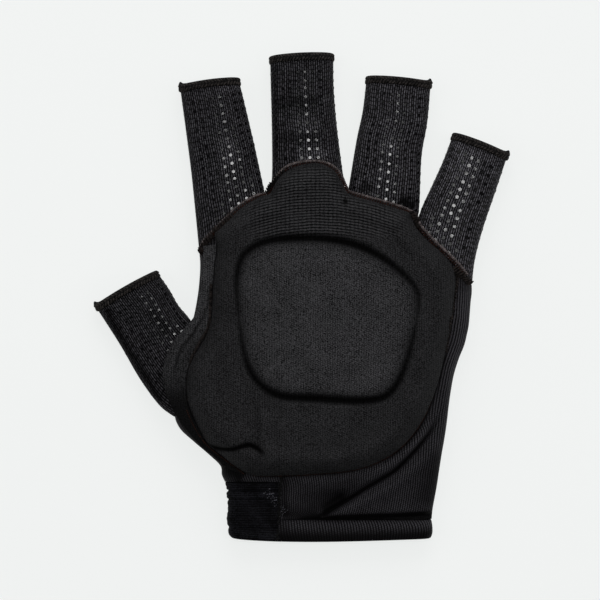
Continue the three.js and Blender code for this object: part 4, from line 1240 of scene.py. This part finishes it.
def buildPad(ground):
    face = padFace(ground)
    swell = swellFace(face)
    inward = face["inner"][:, None] - np.linalg.norm(face["spot"], axis=2)
    # the groove is deep and wide along its top and bottom runs, and a fine line at its sides
    run = np.abs(np.sin(face["angles"]))[:, None] ** pad["grooveCurve"]
    width = pad["grooveWidth"] * (pad["thinnest"] + (1 - pad["thinnest"]) * run)
    core = hump(face["toGroove"], 0, width)
    # the cushion is painted lighter than the rim round it, as if it faces the light, and the groove is
    # painted in shade, darkest along its top and bottom runs
    paintedTones = pad["paintedTones"]
    tone = paintedTones["edge"] + paintedTones["cushion"] * smooth(inward, 0.5, 6)
    beads = 0.85 + 0.15 * np.sin(face["share"] * 2 * math.pi * paintedTones["beads"])
    darker = (paintedTones["groove"] + paintedTones["runs"] * run) * core * beads
    tone *= 1 - darker - 0.08 * hump(face["toGroove"], 0, 1.8)
    tone = np.clip(tone + foldsAt(face["spot"], pad["paintedShading"]), 0.03, 2)
    shoulder = hump(face["toGroove"], 0, pad["shoulderWidth"])
    groove = pad["grooveDepth"] * (pad["shallowest"] + (1 - pad["shallowest"]) * run)
    groove = groove * (pad["coreShare"] * core + (1 - pad["coreShare"]) * shoulder)
    groove *= 1 + 0.1 * np.sin(face["share"] * 2 * math.pi * pad["grooveBeads"])
    # where the cloth is drawn over the knuckles
    x, y = face["spot"][..., 0], face["spot"][..., 1]
    place = pad["drawn"]
    drawn = smooth(y, place["from"], place["full"]) * smooth(face["toRim"], *place["rim"])
    drawn = drawn * (1 - smooth(np.abs(x - place["middle"]), *place["sides"]))
    height = face["seat"] + face["thickness"] - groove + foldsAt(face["spot"], pad["folds"])
    top = np.concatenate([face["spot"], height[..., None]], axis=2) + swell
    # a rounded rim down to the cloth, and a plain underside
    rimPoint = top[:, -1]
    local = ground(face["outline"], 1.0) + pad["rest"]
    foot = np.clip(local, rimPoint[:, 2] - pad["rimHeight"], face["rimSeat"])
    out = face["outline"] / np.linalg.norm(face["outline"], axis=1, keepdims=True)
    side = []
    for part in pad["rimParts"]:
        bow = pad["rimBow"] * math.sin(math.pi * part)
        level = rimPoint[:, 2] + (foot - rimPoint[:, 2]) * part
        side.append(np.column_stack([rimPoint[:, :2] + out * bow, level]))
    under = []
    for part in pad["underParts"]:
        floor = face["seat"][:, 0] + (face["rimSeat"] - face["seat"][:, 0]) * part**2
        floor = np.where(part > 0.9, np.minimum(floor, foot + 0.3), floor)
        under.append(np.column_stack([rimPoint[:, :2] * part, floor]))
    rings = np.concatenate([top, np.stack(side + under, axis=1)], axis=1).transpose(1, 0, 2)
    rows, columns = rings.shape[:2]
    faces, corners = gridFaces(rows, columns, True)
    points = np.vstack([rings.reshape(-1, 3), top[:, 0].mean(axis=0), rings[-1].mean(axis=0)])
    middle, below = rows * columns, rows * columns + 1
    last = (rows - 1) * columns
    caps = [[middle, k, (k + 1) % columns] for k in range(columns)]
    caps += [[below, last + (k + 1) % columns, last + k] for k in range(columns)]
    # the pad's sides and underside are painted darker, as if in shade
    tone = np.concatenate([tone, np.full((columns, rows - top.shape[1]), paintedTones["under"])], axis=1).T
    paintedShade = np.r_[tone.ravel(), 1.0, 0.5]
    piece = makePiece("hand_pad", points, faces.tolist() + caps, padKnit, paintedShade=paintedShade)
    drawn = np.concatenate([drawn, np.zeros((columns, rows - top.shape[1]))], axis=1).T
    carried = piece.data.attributes.new("drawn", "FLOAT", "POINT")
    carried.data.foreach_set("value", np.r_[drawn.ravel(), 0, 0])
    tidyMesh(piece, outwards=True)
    settle(piece, "pad_fabric", "back_pad")
    return rings[:top.shape[1]]


ground = groundOf([(backGrid, False)] + [(grid, True) for grid in sleeves.values()])
padTop = buildPad(ground)
print("pad made")


# The strip of stretch cloth along the pad's thumb side: share of its way from the index finger to the
# wrist, and its width as a share of the widest. It creases and rolls where the thumb leaves the hand.
# Its tones are painted light near the index finger and painted shade where it runs under the thumb.
stripCrease = [(-50.3, 16), (-50.3, 8), (-50.3, -0.8), (-53.2, -6), (-56.6, -11.6), (-59.8, -17.6),
               (-60.6, -25.6)]
stripRoll = [(-50, -4), (-54.4, -9.6), (-58.6, -17), (-59.4, -26)]
panel = {
    "width": 10.0, "wall": 1.0, "reach": 2.0, "start": 0.988, "end": 0.71, "gap": 0.5, "samples": 2000,
    "steps": 200, "parts": 16, "endTaper": 0.8, "lift": 0.9, "bow": 0.3, "tone": 1.1, "midTone": 0.42,
    "lowTone": 0.56,
    "rows": [(0, 0.52), (0.1, 0.48), (0.2, 0.52), (0.28, 0.6), (0.35, 0.83), (0.42, 0.95), (0.49, 1),
             (0.56, 0.92), (0.61, 0.76), (0.66, 0.58), (0.71, 0.52), (0.77, 0.34), (0.83, 0.2),
             (0.88, 0.18), (0.93, 0.3), (1, 0.36)],
    "folds": [
        fold(stripCrease, -0.7, 0.7, fade=(0.05, 0.3)),
        fold(stripRoll, 0.4, 1.2),
    ],
    "paintedShading": [
        fold(stripCrease, -0.6, 0.6, fade=(0.05, 0.3)),
        fold(stripRoll, 0.25, 1.2),
    ],
}


# Each value becomes the mean of its neighbours within the reach.
def averaged(values, reach):
    count = 2 * reach + 1
    return np.convolve(np.pad(values, reach, mode="edge"), np.ones(count) / count, mode="valid")


def buildPanel(ground):
    samples = panel["samples"]
    dense = raised(through(pad["outline"], samples, True), pad["edgeHeight"])
    table = np.array(panel["rows"], float)
    at = np.linspace(0, 1, panel["steps"])
    width = averaged(np.interp(at, table[:, 0], table[:, 1]) * panel["width"], 8)
    share = panel["start"] + (panel["end"] - panel["start"]) * at
    edge = dense[(share * samples).astype(int) % samples]
    edge = np.column_stack([averaged(column, 3) for column in edge.T])
    way = np.gradient(edge, axis=0)
    out = np.column_stack([way[:, 1], -way[:, 0]])
    out *= np.sign(out[:, :1] * -1)
    out /= np.linalg.norm(out, axis=1, keepdims=True)
    width *= 1 - panel["endTaper"] * smooth(at, 0.9, 1)
    parts = np.linspace(0, 1, panel["parts"])
    flat = edge[:, None] + out[:, None] * (panel["gap"] + parts[None, :] * width[:, None])[..., None]
    around = [(0, 0), (1, 0), (0, 1), (-1, 0), (0, -1)]
    heights = [ground(flat + np.array(step) * panel["reach"], hand["fold"]) for step in around]
    height = np.max(heights, axis=0)
    for turn in range(4):
        height[1:-1] = (height[:-2] + height[1:-1] + height[2:]) / 3
        height[:, 1:-1] = (height[:, :-2] + height[:, 1:-1] + height[:, 2:]) / 3
    height += panel["lift"] + panel["wall"] + panel["bow"] * np.sin(math.pi * parts)
    height += foldsAt(flat, panel["folds"])
    grid = np.concatenate([flat, height[..., None]], axis=2)
    # painted shade by the thumb's base and on towards the wrist, and painted light and shade along its
    # crease and roll
    darker = panel["midTone"] * smooth(at, 0.28, 0.42) + panel["lowTone"] * smooth(at, 0.52, 0.64)
    tone = panel["tone"] - darker
    tone = np.clip(np.repeat(tone[:, None], len(parts), axis=1) + foldsAt(flat, panel["paintedShading"]), 0.05, 2)
    grid, tone = grid[::-1, ::-1], tone[::-1]
    piece = clothSheet("thumb_strip", grid, panel["wall"], padKnit, paintedShade=tone)
    settle(piece, "body_fabric", "thumb_side_panel")
    return grid


panelGrid = buildPanel(ground)


# Seams: a pale piping with brown stitches along the pad's finger edge, and lines of stitches elsewhere.
seams = {
    "fingerEdge": [
        (-51, 28.2), (-48.8, 32), (-44.8, 36), (-40, 40.8), (-35.2, 45.2), (-30.4, 48.4), (-26.4, 50),
        (-23.2, 51.2), (-22.4, 53.6), (-20.4, 56.8), (-17.6, 60), (-13.6, 62), (-8.4, 63),
        (-2.4, 62.8), (1.6, 61.2), (4.4, 58.4), (6.4, 54.4), (8.4, 51.2), (12.8, 49.6), (20, 47.6),
        (26.8, 45.6), (32, 43.6), (35.2, 41.2), (36.8, 37.6), (41.6, 32), (47.6, 26.4), (52, 22),
        (55.2, 18),
    ],
    "littleSide": [(51.6, 17.6), (50.8, 12), (49.6, 5.6), (48.4, -0.8), (47.6, -6.8), (46.8, -12.4)],
    "padFoot": [
        (46.8, -12.4), (44.8, -21), (42.2, -30.2), (38.4, -39.2), (33.2, -46.9), (26.6, -53.2),
        (18.5, -57.6), (8.8, -60.4), (-3.2, -61.6), (-17.2, -62.4), (-29.8, -62.4),
    ],
    "thumbFoot": [(-56, -36), (-53, -42.6), (-48.2, -49.6), (-40.8, -55.6), (-33.5, -61)],
    "indexRope": [(-51.2, 27), (-49.4, 30.6), (-46.6, 34.2), (-42.6, 38), (-38.8, 41.6)],
    "middleRope": [(-24.4, 50.8), (-22.8, 53.2), (-20.6, 56.2), (-17.8, 58.8)],
    "ringRope": [(33.2, 43.2), (35.2, 40.6), (36.4, 37.4)],
    "littleRope": [(50.6, 20.6), (53.4, 18.6), (57, 14.8)],
    "thumbEdge": [
        (-47.4, 14), (-47.7, 5.4), (-48.4, -2.3), (-51.8, -8.6), (-55.6, -16.3), (-57, -25.2),
        (-57, -32),
    ],
    "cuff": [(-18.6, -63.2), (-19.4, -70), (-19.6, -78), (-20.2, -88)],
    "cuffSpecks": [(-24.4, -68.6), (-21.4, -72.4), (-17.2, -77.2)],
}
# Stitch sizes in millimetres, and angles in degrees
seamColumns = ("pitch", "length", "width", "height", "slant", "unevenness", "seed")
seamRows = {
    "piping": (0.95, 1.5, 1.15, 1.1, 24, 0.12, 5),
    "brown": (1.02, 1.9, 0.66, 0.9, 72, 0.12, 6),
    "chain": (1.15, 2.3, 1.0, 0.9, 52, 0.3, 12),
    "zigzag": (0.95, 2.1, 0.9, 0.45, 0, 0.12, 8),
    "band": (0.9, 1.5, 1.0, 0.7, 60, 0.12, 14),
    "fine": (0.9, 0.85, 0.5, 0.4, 0, 0.3, 9),
    "rope": (1.1, 3.8, 1.0, 1.6, 62, 0.25, 10),
    "under": (0.7, 1.6, 1.6, 0.7, 0, 0.12, 13),
    "speck": (1.0, 0.6, 0.34, 0.4, 20, 1.2, 21),
}
seamLook = {name: dict(zip(seamColumns, row)) for name, row in seamRows.items()}
seamLook["zigzag"]["zigzag"] = 110
# The cuff's specks lie in rows: how far each is shifted sideways, and its pitch.
speckRows = [(-1.5, 1.9), (-0.8, 1.1), (0.0, 1.45), (0.6, 1.0), (1.3, 2.1)]


# A path of the plan lifted onto what it lies on, moved sideways, with the way that the surface faces.
def onSurface(path, ground, count, shift=0.0, lift=0.0, lowest=3.0, smoothing=4):
    flat = raised(through(path, count), pad["edgeHeight"])
    way = np.gradient(flat, axis=0)
    side = np.column_stack([-way[:, 1], way[:, 0]])
    side /= np.linalg.norm(side, axis=1, keepdims=True)
    flat = flat + side * shift
    height = ground(flat, lowest)
    for turn in range(smoothing):
        height = (np.r_[height[:1], height[:-1]] + height + np.r_[height[1:], height[-1:]]) / 3
    facing = np.column_stack([side * 0.0, np.ones(count)])
    return np.column_stack([flat, height + lift]), facing


def buildSeams():
    tubes = [(grid, True) for grid in sleeves.values()]
    over = groundOf([(backGrid, False), (padTop, True), (panelGrid, False)] + tubes)
    points, facing = onSurface(seams["fingerEdge"], over, 260, shift=0.75, lift=0.2, smoothing=10)
    settle(stitched("seam_piping", points, facing, seamLook["piping"], paleThread), "hem_thread")
    points, facing = onSurface(seams["fingerEdge"], over, 260, shift=-0.35, lift=0.2, smoothing=8)
    settle(stitched("seam_stitches", points, facing, seamLook["brown"], brownThread), "hem_thread")
    parts = []
    for name in ("indexRope", "middleRope", "ringRope", "littleRope"):
        points, facing = onSurface(seams[name], over, 60, lift=0.7, lowest=4.4)
        material = darkThread if name == "middleRope" else ropeThread
        parts.append(stitched(name, points, facing, seamLook["rope"], material))
    parts[0].name = "seam_ropes"
    settle(joinPieces(parts), "hem_thread")
    parts = []
    for name, look, material, shift in (
            ("littleSide", "chain", ropeThread, 0.5), ("padFoot", "fine", brownThread, 0.1),
            ("thumbFoot", "fine", brownThread, -0.6), ("thumbEdge", "band", ropeThread, 0.5)):
        points, facing = onSurface(seams[name], over, 140, shift=shift, lift=0.15)
        parts.append(stitched("pad_stitches_" + name, points, facing, seamLook[look], material))
    settle(joinPieces(parts), "hem_thread")
    cuffGround = groundOf([(bodyParts["elastic"], False), (bodyParts["hem"], False), (backGrid, False)])
    points, facing = onSurface(seams["cuff"], cuffGround, 120, lift=0.35, smoothing=6)
    cuff = [stitched("cuff_seam", points, facing, seamLook["zigzag"], darkThread)]
    below = points - [0, 0, 0.7]
    cuff.append(stitched("under", below, facing, seamLook["under"], darkThread))
    for row, (shift, pitch) in enumerate(speckRows):
        points, facing = onSurface(seams["cuffSpecks"], cuffGround, 60, shift=shift, lift=0.1, smoothing=3)
        look = {**seamLook["speck"], "pitch": pitch, "seed": seamLook["speck"]["seed"] + row}
        cuff.append(stitched("specks", points, facing, look, greyThread))
    settle(joinPieces(cuff), "hem_thread")


buildSeams()
print("seams made")


# Plain pale floor and soft studio light
studio = {
    "world": 0.09, "floorHalf": 4000, "floorLevel": -0.1,
    "lamps": [
        {"name": "left", "place": (-1000, 100, 750), "size": 1100, "power": 3.5},
        {"name": "right", "place": (1000, 100, 750), "size": 1100, "power": 3.5},
        {"name": "fingers", "place": (100, 1200, 700), "size": 1200, "power": 9.5},
        {"name": "above", "place": (70, 100, 1500), "size": 195, "power": 5.2},
    ],
}


def buildStudio():
    half, level = studio["floorHalf"], studio["floorLevel"]
    corners = [(x * half, y * half, level) for x, y in ((-1, -1), (1, -1), (1, 1), (-1, 1))]
    makePiece("floor", corners, [(0, 1, 2, 3)], floorFinish(looks["floor"]))
    world = bpy.data.worlds.new("studio")
    world.use_nodes = True
    sky = world.node_tree.nodes["Background"].inputs
    sky["Color"].default_value = (1, 1, 1, 1)
    sky["Strength"].default_value = studio["world"]
    scene.world = world
    for row in studio["lamps"]:
        light = bpy.data.lights.new(row["name"], "AREA")
        light.size = row["size"] * 0.001
        light.energy = row["power"]
        lamp = bpy.data.objects.new(row["name"], light)
        lamp.location = Vector(row["place"]) * 0.001
        lamp.rotation_euler = (-lamp.location).to_track_quat("-Z", "Y").to_euler()
        scene.collection.objects.link(lamp)
    scene.view_settings.view_transform = "Standard"


buildStudio()
print("studio made")
